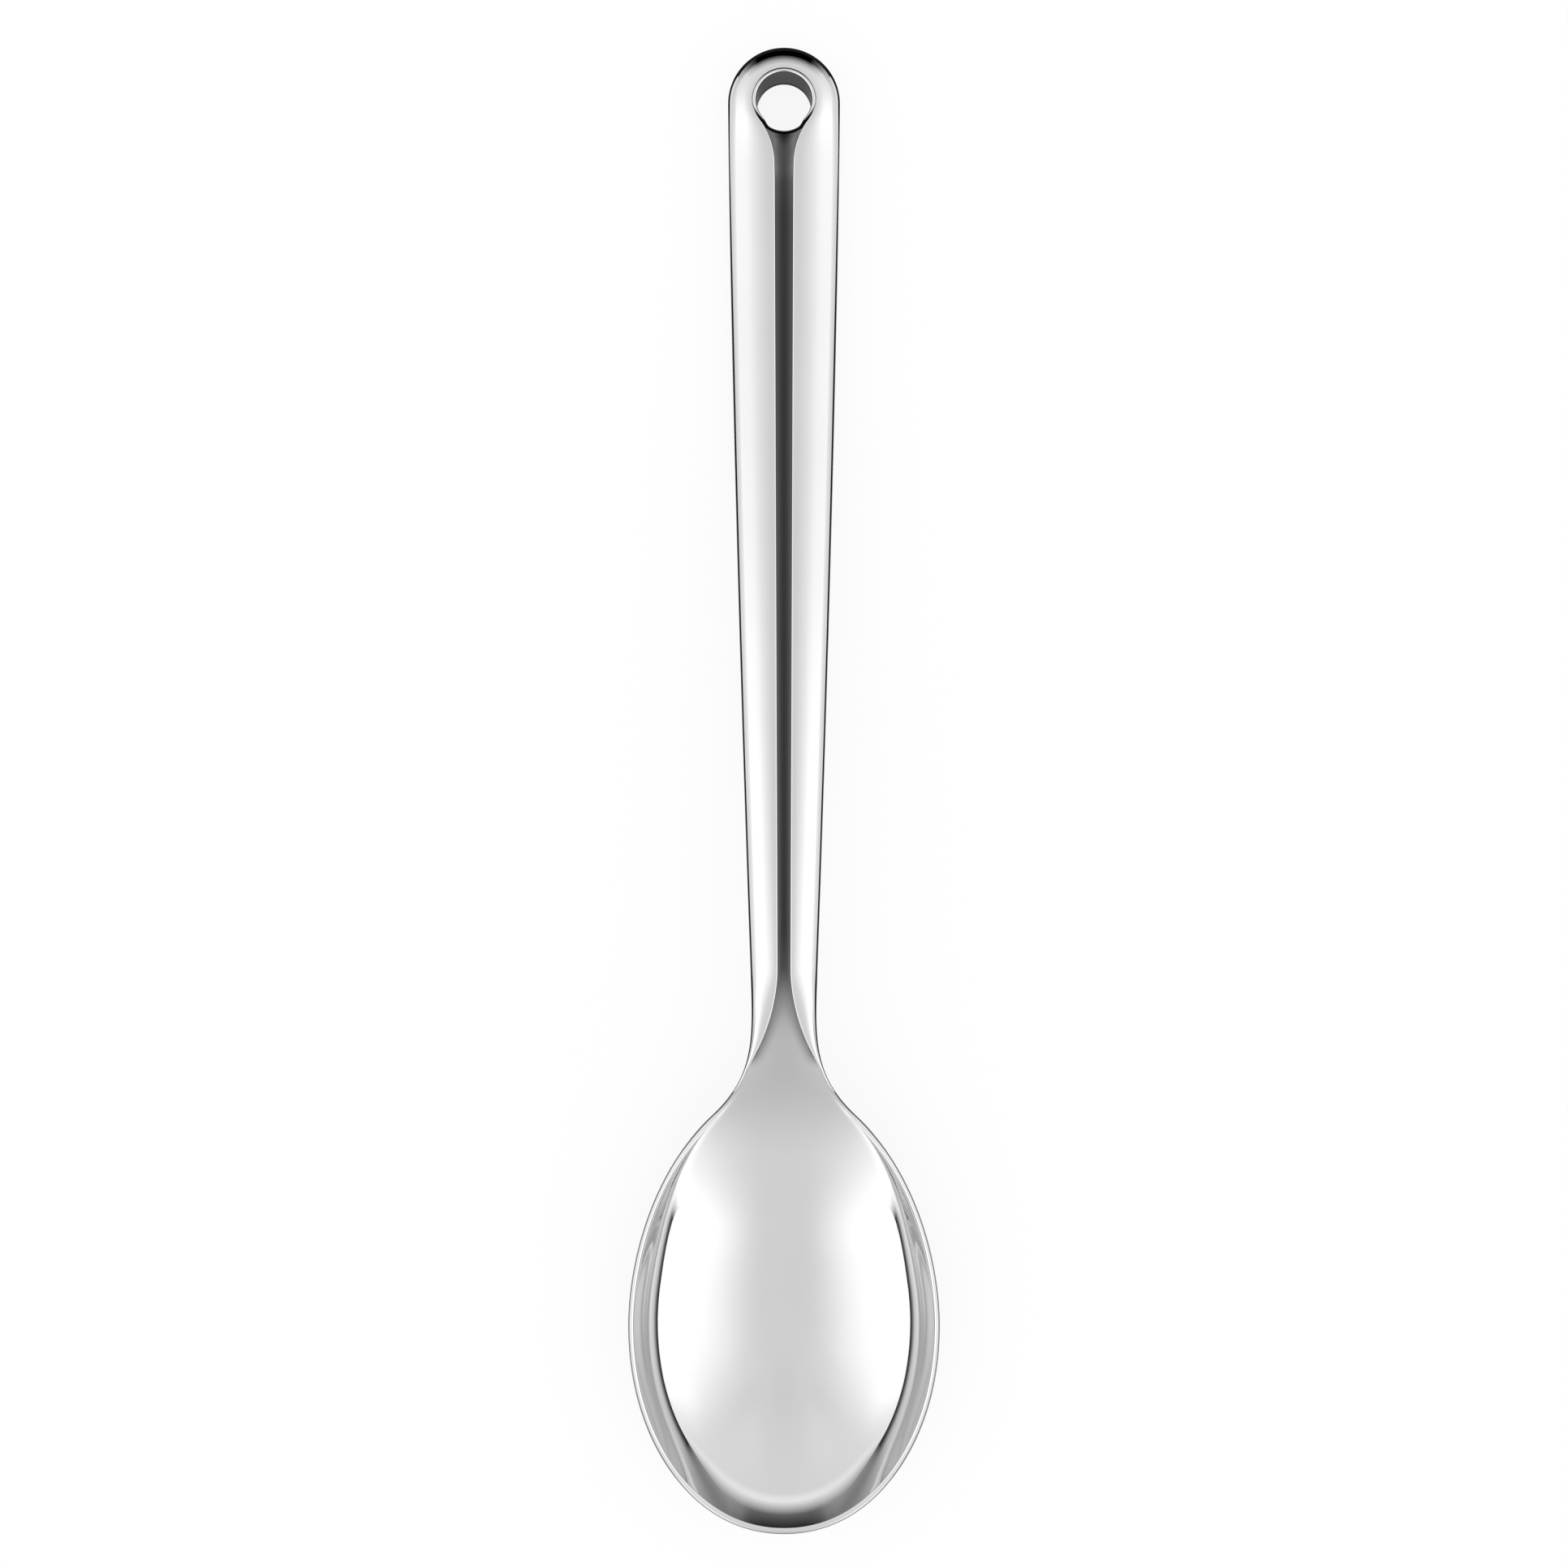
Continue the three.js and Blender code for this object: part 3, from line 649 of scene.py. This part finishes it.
def front_section(y):
    """Slot edge, outer edge, rise and sheet of a lip at a place along the handle."""
    return slot_half(y), half_width(y), front_rise(y), front_sheet(y)


LIP_OUTER = 0.5
LIP_EDGE = 0.52
LIP_INNER = 0.84
EDGE_TURNED = 0.4
EDGE_WALL_END = 0.5
PRONG_RUN_OUT = 0.005


def front_point(row, t):
    """A point round a lip's section: slot edge to seam outside, then back inside."""
    side, (kind, value) = row
    if kind == "end":
        slot, edge, rise, sheet = HOLE_RADIUS, end_radius, FRONT_RISE_END, SHELL_SHEET
        flatness = HANDLE_FLATNESS
    else:
        slot, edge, rise, sheet = front_section(max(value, mouth_y))
        to_mouth = smoothstep(value, flare_top_y, mouth_y + MOUTH_FLAT_RUN)
        flatness = lerp(HANDLE_FLATNESS, MOUTH_FLATNESS, to_mouth)
    ease = min(LIP_ROUND, sheet / 2.2, (edge - slot) / 3)
    bend = 2 / flatness
    outer_turn = math.acos(min(1, SEAM_GAP / rise) ** (1 / bend))
    inner_turn = math.acos(min(1, SEAM_GAP / (rise - sheet)))
    start = math.asin((ease / (edge - slot)) ** (1 / bend))
    top = rise * math.cos(start) ** bend
    low = rise - sheet
    if t <= LIP_OUTER:
        turn = lerp(start, outer_turn, t / LIP_OUTER)
        x, z = slot + (edge - slot) * math.sin(turn) ** bend, rise * math.cos(turn) ** bend
    elif t <= LIP_INNER:
        share = max(0, (t - LIP_EDGE) / (LIP_INNER - LIP_EDGE))
        turn = lerp(inner_turn, 0, share)
        x, z = slot + (edge - sheet - slot) * math.sin(turn), low * math.cos(turn)
        x = max(x, slot + ease * share) if share > 0.5 else x
    else:
        share = (t - LIP_INNER) / (1 - LIP_INNER)
        lower_turn = math.pi / 2 * share_of(share, 0, EDGE_TURNED)
        upper_turn = math.pi / 2 * share_of(share, EDGE_WALL_END, 1)
        x = slot + ease * (1 - math.sin(lower_turn)) + ease * (1 - math.cos(upper_turn))
        z = low + ease * (1 - math.cos(lower_turn)) + ease * math.sin(upper_turn)
        z += (top - low - 2 * ease) * share_of(share, EDGE_TURNED, EDGE_WALL_END)
    if kind == "point":
        spent = (mouth_y - value) / PRONG_RUN_OUT
        left = superellipse(spent, 2)
        x = half_width(value) - (edge - x) * left
        z = SEAM_GAP * (1 - spent) + (z - SEAM_GAP) * left
    plan = end_point(x, value) if kind == "end" else Vector((x, value))
    return Vector((side * plan.x, plan.y, seam_height(plan.y) + z))


front_rows = both_sides(
    [("end", turn) for turn in spaced(math.pi / 2, 0, 28)]
    + [("lip", y) for y in spaced(hole_y, fillet_y, 20)[1:]]
    + [("lip", y) for y in spaced(fillet_y, flare_top_y, 56)[1:]]
    + [("lip", y) for y in spaced(flare_top_y, mouth_y, 32)[1:]]
    + [("point", mouth_y - PRONG_RUN_OUT * math.sin(a)) for a in spaced(0, math.pi / 2, 10)[1:]]
)
front_shell = grid_piece("front_shell", front_rows, 100, front_point)
front_shell.data.materials.append(handle_steel)
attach(front_shell, "root")
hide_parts("handle_front_shell")

# Welds
# The bead between the two shells, ground flush, and the two hidden beads that hold the tang's
# edges under the lips. Ground weld metal is a little duller than the polished sheet.
WELD_LIGHT = (0.66, 0.66, 0.67)
WELD_DARK = (0.58, 0.58, 0.59)
weld_steel = steel("weld_steel", WELD_LIGHT, WELD_DARK, 0.16, 0.3, (1, 0.2, 1), 0.1)
for node in ("tang_weld_left", "tang_weld_right"):
    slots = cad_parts[node].data.materials
    slots.clear()
    slots.append(weld_steel)

SEAM_HALF = 0.00038
SEAM_SQUARENESS = 0.4


def seam_point(row, t):
    """A point round the seam bead's section, which is square with eased corners."""
    side, (kind, value) = row
    sheet = min(front_sheet(value), back_sheet(value)) if kind == "side" else SHELL_SHEET
    turn = 2 * math.pi * t
    out = math.copysign(abs(math.cos(turn)) ** SEAM_SQUARENESS, math.cos(turn))
    up = math.copysign(abs(math.sin(turn)) ** SEAM_SQUARENESS, math.sin(turn))
    inset = sheet * (1 - out) / 2
    plan = side_point(value, inset) if kind == "side" else end_point(end_radius - inset, value)
    return Vector((side * plan.x, plan.y, seam_height(plan.y) + SEAM_HALF * up))


seam_rows = both_sides(
    [("end", turn) for turn in spaced(math.pi / 2, 0, 28)]
    + [("side", y) for y in spaced(hole_y, flare_top_y, 64)[1:]]
    + [("side", y) for y in spaced(flare_top_y, mouth_y, 20)[1:]]
)
seam_bead = grid_piece("seam_bead", seam_rows, 24, seam_point)
seam_bead.data.materials.append(weld_steel)
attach(seam_bead, "root")
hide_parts("side_seam_weld")

# Hanging eyelet
# A thin steel tube through the handle's end, with a beaded lip rolled over the front shell and a
# flat lip on the back. It lines the hanging hole and clamps the two shells.
BORE_RADIUS = 0.00555
BARREL_RADIUS = 0.00595
FRONT_LIP_WIDTH = 0.00095
FRONT_LIP_HEIGHT = 0.0005
BACK_LIP_WIDTH = 0.00165
BACK_LIP_HEIGHT = 0.0006
LIP_EDGE_ROUND = 0.0003
FRONT_LIP_OPENING = 0.0092
BEAD_RUN_OUT = math.radians(50)
BEAD_LEFT = 0.3
THROAT_RUN_OUT = math.radians(16)
THROAT_LEFT = 0.05
BACK_EDGE_WIDTH = 0.0005
BACK_EDGE_SHADE = 0.9
THROAT_SHADE = 0.95

front_z = END_SEAM_HEIGHT + FRONT_RISE_END + FIT
back_z = END_SEAM_HEIGHT - BACK_DEPTH_END - FIT
rest_z = back_z - BACK_LIP_HEIGHT
back_lip = BORE_RADIUS + BACK_LIP_WIDTH


def arc(centre, radius_r, radius_z, start, end, steps):
    turns = [math.radians(angle) for angle in spaced(start, end, steps)]
    return [(centre[0] + radius_r * math.cos(a), centre[1] + radius_z * math.sin(a)) for a in turns]


low_z = rest_z + LIP_EDGE_ROUND
profile = arc((BORE_RADIUS + LIP_EDGE_ROUND, low_z), LIP_EDGE_ROUND, LIP_EDGE_ROUND, 180, 270, 6)
profile += arc((back_lip - LIP_EDGE_ROUND, low_z), LIP_EDGE_ROUND, LIP_EDGE_ROUND, 270, 360, 6)
profile += [(back_lip, back_z), (BARREL_RADIUS, back_z), (BARREL_RADIUS, front_z)]
bead_half = FRONT_LIP_WIDTH / 2
profile += arc((BORE_RADIUS + bead_half, front_z), bead_half, FRONT_LIP_HEIGHT, 0, 180, 16)
profile += [(BORE_RADIUS, z) for z in spaced(front_z, low_z, 12)[1:-1]]

bm = bmesh.new()
verts = [bm.verts.new((r, hole_y, z)) for r, z in profile]
edges = [bm.edges.new(pair) for pair in zip(verts, verts[1:] + verts[:1])]
bmesh.ops.spin(
    bm,
    geom=verts + edges,
    cent=(0, hole_y, 0),
    axis=(0, 0, 1),
    angle=2 * math.pi,
    steps=144,
    use_merge=True,
)
bmesh.ops.remove_doubles(bm, verts=bm.verts, dist=1e-7)

# The bead thins towards the slot, and between the slot's edges the tube is cut down to the tang
throat_z = END_SEAM_HEIGHT + TANG_LEVEL + SHEET
throat_turn = math.asin(FRONT_LIP_OPENING / 2 / HOLE_RADIUS)
for vert in bm.verts:
    out = Vector((vert.co.x, vert.co.y - hole_y))
    turn = abs(math.atan2(out.x, -out.y))
    if vert.co.z > throat_z:
        thin = lerp(BEAD_LEFT, 1, smoothstep(turn, throat_turn, throat_turn + BEAD_RUN_OUT))
        cut = 1 - smoothstep(turn, throat_turn - THROAT_RUN_OUT, throat_turn)
        radius = BORE_RADIUS + (out.length - BORE_RADIUS) * thin
        radius = lerp(radius, min(radius, BARREL_RADIUS), cut)
        out *= radius / out.length
        over = (vert.co.z - throat_z) * lerp(1, THROAT_LEFT, cut)
        vert.co = (out.x, hole_y + out.y, throat_z + over)
bmesh.ops.recalc_face_normals(bm, faces=bm.faces)
eyelet = piece_from(bm, "eyelet")


def eyelet_painted_shade(x, y, z):
    """Painted shade on the eyelet: dark at its back edge and down in the slot's opening."""
    turn = abs(math.atan2(x, hole_y - y))
    in_throat = 1 - smoothstep(turn, throat_turn - THROAT_RUN_OUT, throat_turn)
    opening = in_throat * smoothstep(z, throat_z / 2, throat_z)
    back_edge = 1 - smoothstep(z, BACK_EDGE_WIDTH, 3 * BACK_EDGE_WIDTH)
    return (1 - THROAT_SHADE * opening) * (1 - BACK_EDGE_SHADE * back_edge)


EYELET_LIGHT = (0.7, 0.7, 0.71)
EYELET_DARK = (0.64, 0.64, 0.65)
eyelet_steel = steel("eyelet_steel", EYELET_LIGHT, EYELET_DARK, 0.06, 0.14, (1, 1, 0.1), 0.04)
tree = eyelet_steel.node_tree
shader = tree.nodes["Principled BSDF"]
place = add_node(tree, "ShaderNodeTexCoord").outputs["Object"]
flat_place = add_node(tree, "ShaderNodeVectorMath", {0: place, 1: (1, 1, 0)}, operation="MULTIPLY")
from_axis = add_node(
    tree, "ShaderNodeVectorMath", {0: flat_place.outputs[0], 1: (0, hole_y, 0)}, operation="DISTANCE"
)
across_lip = add_node(
    tree,
    "ShaderNodeMapRange",
    {
        "Value": from_axis.outputs["Value"],
        "From Min": BORE_RADIUS,
        "From Max": BORE_RADIUS + FRONT_LIP_WIDTH,
    },
)
# Painted shade: dark rings at the bead's inner and outer edges
CREVICE_SHADE_RAMP = [(0, 0.7), (0.08, 0.15), (0.24, 1), (0.76, 1), (0.94, 0.1)]
crevice_shade = grey_ramp(tree, across_lip.outputs[0], CREVICE_SHADE_RAMP)
crevice_shaded = add_node(
    tree,
    "ShaderNodeMix",
    {"Factor": 1.0, 6: shader.inputs["Base Color"].links[0].from_socket, 7: crevice_shade},
    data_type="RGBA",
    blend_type="MULTIPLY",
)
tree.links.new(crevice_shaded.outputs[2], shader.inputs["Base Color"])
paint_shade_by_tone(eyelet, eyelet_steel, eyelet_painted_shade)

# The painted shade tints the specular too, so seen along the bore the dark places stay dark
tree.links.new(shader.inputs["Base Color"].links[0].from_socket, shader.inputs["Specular Tint"])
eyelet.data.materials.append(eyelet_steel)
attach(eyelet, "root")
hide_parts("hanging_eyelet")

# Floor
# A plain pale sheet under the spoon.
FLOOR_SIZE = 12
bm = bmesh.new()
bmesh.ops.create_grid(bm, x_segments=1, y_segments=1, size=FLOOR_SIZE / 2)
floor = piece_from(bm, "floor")
floor_paint = bpy.data.materials.new("floor_paint")
floor_paint.use_nodes = True
tree = floor_paint.node_tree
shader = tree.nodes["Principled BSDF"]
shader.inputs["Roughness"].default_value = 0.9
shader.inputs["Base Color"].default_value = (0.95, 0.95, 0.95, 1)
FLOOR_GLOW = 0.88
rays = add_node(tree, "ShaderNodeLightPath").outputs
mirrored = add_node(
    tree,
    "ShaderNodeMath",
    {0: rays["Is Glossy Ray"], 1: rays["Is Transmission Ray"]},
    operation="MAXIMUM",
)
seen = add_node(
    tree, "ShaderNodeMath", {0: rays["Is Camera Ray"], 1: mirrored.outputs[0]}, operation="MAXIMUM"
)
share = add_node(tree, "ShaderNodeMath", {0: seen.outputs[0], 1: FLOOR_GLOW}, operation="MULTIPLY")
white = add_node(tree, "ShaderNodeEmission", {"Strength": 1.0})
mixed = add_node(
    tree, "ShaderNodeMixShader", {0: share.outputs[0], 1: shader.outputs[0], 2: white.outputs[0]}
)
tree.links.new(mixed.outputs[0], tree.nodes["Material Output"].inputs["Surface"])
floor.data.materials.append(floor_paint)

# Dark cards
# Cards that only the polished steel sees, as in a studio picture: a black one under the spoon for
# thin dark outlines, a dark one beyond the hanging end, and a dark band round the bowl.
UNDER_WIDTH = 0.24
UNDER_LENGTH = 1.63
UNDER_MIDDLE = 0.635
UNDER_LIFT = 0.00002
UNDER_BLACK = 0.015
UNDER_GREYS = [(0.8, UNDER_BLACK), (1, 0.25)]
HOLE_LIGHT_RADIUS = 0.012
HOLE_GREYS = [(0, 0.3), (0.5, 0.25), (0.75, 0)]
WAIST = 0.25
WAIST_START = 0.1
WAIST_END = 0.25
BAND_HALF_WIDTH = 0.07
BAND_HALF_LENGTH = 0.085
BAND_TOP = 0.057
BAND_PAST_TIP = 0.04
BAND_END_Y = -0.04
END_CARD_WIDTH = 0.22
END_CARD_HEIGHT = 0.17
END_CARD_Y = 0.25


def card(bm, name, shade, cover):
    """A card that only mirrors see; shade and cover are grey values from a place on it."""
    piece = piece_from(bm, name)
    paper = bpy.data.materials.new(name)
    paper.use_nodes = True
    tree = paper.node_tree
    place = add_node(tree, "ShaderNodeTexCoord").outputs["Object"]
    glow = add_node(tree, "ShaderNodeEmission", {"Color": shade(tree, place)})
    clear = add_node(tree, "ShaderNodeBsdfTransparent")
    surface = add_node(
        tree, "ShaderNodeMixShader", {0: cover(tree, place), 1: clear.outputs[0], 2: glow.outputs[0]}
    )
    tree.links.new(surface.outputs[0], tree.nodes["Material Output"].inputs["Surface"])
    piece.data.materials.append(paper)
    piece.visible_camera = False
    piece.visible_diffuse = False
    piece.visible_shadow = False


def under_shade(tree, place):
    """Black beside the spoon, grey further out and under the hanging hole."""
    gap = add_node(tree, "ShaderNodeVectorMath", {0: place, 1: (0, hole_y, 0)}, operation="DISTANCE")
    share = add_node(
        tree, "ShaderNodeMapRange", {"Value": gap.outputs["Value"], "From Max": HOLE_LIGHT_RADIUS}
    )
    in_hole = grey_ramp(tree, share.outputs[0], HOLE_GREYS)
    axes = add_node(tree, "ShaderNodeSeparateXYZ", {0: place}).outputs
    sideways = add_node(tree, "ShaderNodeMath", {0: axes["X"]}, operation="ABSOLUTE")
    across = add_node(
        tree, "ShaderNodeMapRange", {"Value": sideways.outputs[0], "From Max": UNDER_WIDTH / 2}
    )
    outwards = grey_ramp(tree, across.outputs[0], UNDER_GREYS)
    return add_node(tree, "ShaderNodeMath", {0: in_hole, 1: outwards}, operation="MAXIMUM").outputs[0]


def end_cover(tree, place):
    """The card beyond the hanging end fades out upwards and sideways."""
    axes = add_node(tree, "ShaderNodeSeparateXYZ", {0: place}).outputs
    height = add_node(tree, "ShaderNodeMapRange", {"Value": axes["Z"], "From Max": END_CARD_HEIGHT})
    sideways = add_node(tree, "ShaderNodeMath", {0: axes["X"]}, operation="ABSOLUTE")
    across = add_node(
        tree, "ShaderNodeMapRange", {"Value": sideways.outputs[0], "From Max": END_CARD_WIDTH / 2}
    )
    upwards = grey_ramp(tree, height.outputs[0], [(0.36, 1), (0.5, 0.8), (0.66, 0.42), (1, 0)])
    ends = grey_ramp(tree, across.outputs[0], [(0.5, 1), (0.95, 0)])
    return add_node(tree, "ShaderNodeMath", {0: upwards, 1: ends}, operation="MULTIPLY").outputs[0]


def band_cover(tree, place):
    """The band round the bowl fades out downwards and at its ends."""
    axes = add_node(tree, "ShaderNodeSeparateXYZ", {0: place}).outputs
    height = add_node(tree, "ShaderNodeMapRange", {"Value": axes["Z"], "From Max": BAND_TOP})
    along = add_node(
        tree,
        "ShaderNodeMapRange",
        {"Value": axes["Y"], "From Min": tip_y - BAND_PAST_TIP, "From Max": BAND_END_Y},
    )
    upwards = grey_ramp(tree, height.outputs[0], [(0.2, 0), (0.5, 0.25), (0.8, 0.9), (1, 1)])
    ends = grey_ramp(tree, along.outputs[0], [(0.05, 0), (0.17, 1), (0.84, 1), (0.98, 0)])
    return add_node(tree, "ShaderNodeMath", {0: upwards, 1: ends}, operation="MULTIPLY").outputs[0]


bm = bmesh.new()
bmesh.ops.create_grid(bm, x_segments=1, y_segments=163, size=0.5)
bmesh.ops.scale(bm, vec=(UNDER_WIDTH, UNDER_LENGTH, 1), verts=bm.verts)
bmesh.ops.translate(bm, vec=(0, UNDER_MIDDLE, UNDER_LIFT), verts=bm.verts)
for vert in bm.verts:
    past_end = smoothstep(vert.co.y, LENGTH / 2, WAIST_END)
    vert.co.x *= lerp(1, WAIST, smoothstep(vert.co.y, WAIST_START, hole_y) * (1 - past_end))
card(bm, "under_card", under_shade, lambda tree, place: 1.0)

bm = bmesh.new()
bmesh.ops.create_grid(bm, x_segments=1, y_segments=1, size=0.5)
bmesh.ops.rotate(bm, matrix=Matrix.Rotation(math.pi / 2, 3, "X"), verts=bm.verts)
bmesh.ops.scale(bm, vec=(END_CARD_WIDTH, 1, END_CARD_HEIGHT), verts=bm.verts)
bmesh.ops.translate(bm, vec=(0, END_CARD_Y, END_CARD_HEIGHT / 2), verts=bm.verts)
card(bm, "end_card", lambda tree, place: (0, 0, 0, 1), end_cover)

bm = bmesh.new()
bmesh.ops.create_circle(bm, segments=96, radius=1)
upper = bmesh.ops.extrude_edge_only(bm, edges=bm.edges)["geom"]
upper_verts = [part for part in upper if isinstance(part, bmesh.types.BMVert)]
bmesh.ops.translate(bm, vec=(0, 0, BAND_TOP), verts=upper_verts)
bmesh.ops.scale(bm, vec=(BAND_HALF_WIDTH, BAND_HALF_LENGTH, 1), verts=bm.verts)
bmesh.ops.translate(bm, vec=(0, widest_y, 0), verts=bm.verts)
card(bm, "bowl_band", lambda tree, place: (0, 0, 0, 1), band_cover)

# Light tent
# Two long soft boxes to the left and right over the spoon, a pale ceiling strip between them and
# pale walls; the far side beyond the handle's end is darker near the floor.
world = bpy.data.worlds.new("light_tent")
bpy.context.scene.world = world
world.use_nodes = True
tree = world.node_tree
background = tree.nodes["Background"]
direction = add_node(tree, "ShaderNodeTexCoord").outputs["Generated"]
axes = add_node(tree, "ShaderNodeSeparateXYZ", {0: direction}).outputs
sideways = add_node(tree, "ShaderNodeMath", {0: axes["X"]}, operation="ABSOLUTE").outputs[0]
fall = add_node(tree, "ShaderNodeMath", {0: axes["Z"]}, operation="ARCCOSINE")
from_top = add_node(tree, "ShaderNodeMath", {0: fall.outputs[0], 1: math.pi}, operation="DIVIDE")
level = add_node(tree, "ShaderNodeVectorMath", {0: direction, 1: (1, 1, 0)}, operation="MULTIPLY")
heading = add_node(tree, "ShaderNodeVectorMath", {0: level.outputs[0]}, operation="NORMALIZE")
heading_y = add_node(tree, "ShaderNodeSeparateXYZ", {0: heading.outputs[0]}).outputs["Y"]


def by_angle(factor, stops):
    return grey_ramp(tree, factor.outputs[0], [(degrees / 180, grey) for degrees, grey in stops])


def by_axis(value, stops):
    lift = add_node(tree, "ShaderNodeMapRange", {"Value": value, "From Min": -1, "From Max": 1})
    return grey_ramp(tree, lift.outputs[0], [(0.5 + at / 2, grey) for at, grey in stops], "B_SPLINE")


def blend(factor, first, second):
    node = add_node(tree, "ShaderNodeMix", {"Factor": factor, 6: first, 7: second}, data_type="RGBA")
    return node.outputs[2]


BOX_LIGHT = 1.45
STRIP_GREY = (0.6, 0.6, 0.6, 1)
near_boxes = grey_ramp(tree, sideways, [(0, 0.58), (0.38, 1)], "EASE")
FAR_BOXES = [(0, 0.55), (0.12, 0.57), (0.3, 0.75), (0.45, 0.95), (0.55, 1)]
far_boxes = grey_ramp(tree, sideways, FAR_BOXES)
boxes = blend(by_axis(axes["Y"], [(-0.2, 0), (0.1, 1)]), near_boxes, far_boxes)
box_end = by_axis(axes["Y"], [(0.08, 0), (0.3, 0.5), (0.55, 0.8), (0.8, 1)])
ceiling = blend(box_end, boxes, STRIP_GREY)
side_wall = by_angle(from_top, [(60, 0.8), (75, 0.7), (90, 0.6)])
below = by_angle(from_top, [(58, 0), (62, 1)])
near_end = by_axis(heading_y, [(-0.75, 0), (-0.62, 1)])
seen_walls = add_node(tree, "ShaderNodeMath", {0: below, 1: near_end}, operation="MULTIPLY")
sides = blend(seen_walls.outputs[0], ceiling, side_wall)
far_wall = by_angle(from_top, [(56, 0.76), (59, 0.72), (67, 0.1), (76, 0.01)])
far_side = by_axis(heading_y, [(0.55, 0), (0.92, 1)])
far_below = by_angle(from_top, [(54, 0), (58, 1)])
far_part = add_node(tree, "ShaderNodeMath", {0: far_below, 1: far_side}, operation="MULTIPLY")
tent = blend(far_part.outputs[0], sides, far_wall)

# Seen past the floor, the tent is as plain as the floor
PLAIN_WALL = (0.69, 0.69, 0.69, 1)
seen_straight = add_node(tree, "ShaderNodeLightPath").outputs["Is Camera Ray"]
tree.links.new(blend(seen_straight, tent, PLAIN_WALL), background.inputs["Color"])
background.inputs["Strength"].default_value = BOX_LIGHT

# Camera
# Straight above the spoon, far enough away for the gentle perspective of the picture.
CAMERA_HEIGHT = 0.560
CAMERA_X = 0.0
CAMERA_Y = 0.00065
VIEW_PIXELS = 1932
FOCAL_PIXELS = 3360
camera = bpy.data.objects.new("camera", bpy.data.cameras.new("camera"))
camera.location = (CAMERA_X, CAMERA_Y, CAMERA_HEIGHT)
camera.data.lens = camera.data.sensor_width * FOCAL_PIXELS / VIEW_PIXELS
bpy.context.scene.collection.objects.link(camera)
bpy.context.scene.camera = camera
bpy.context.scene.view_settings.view_transform = "Standard"
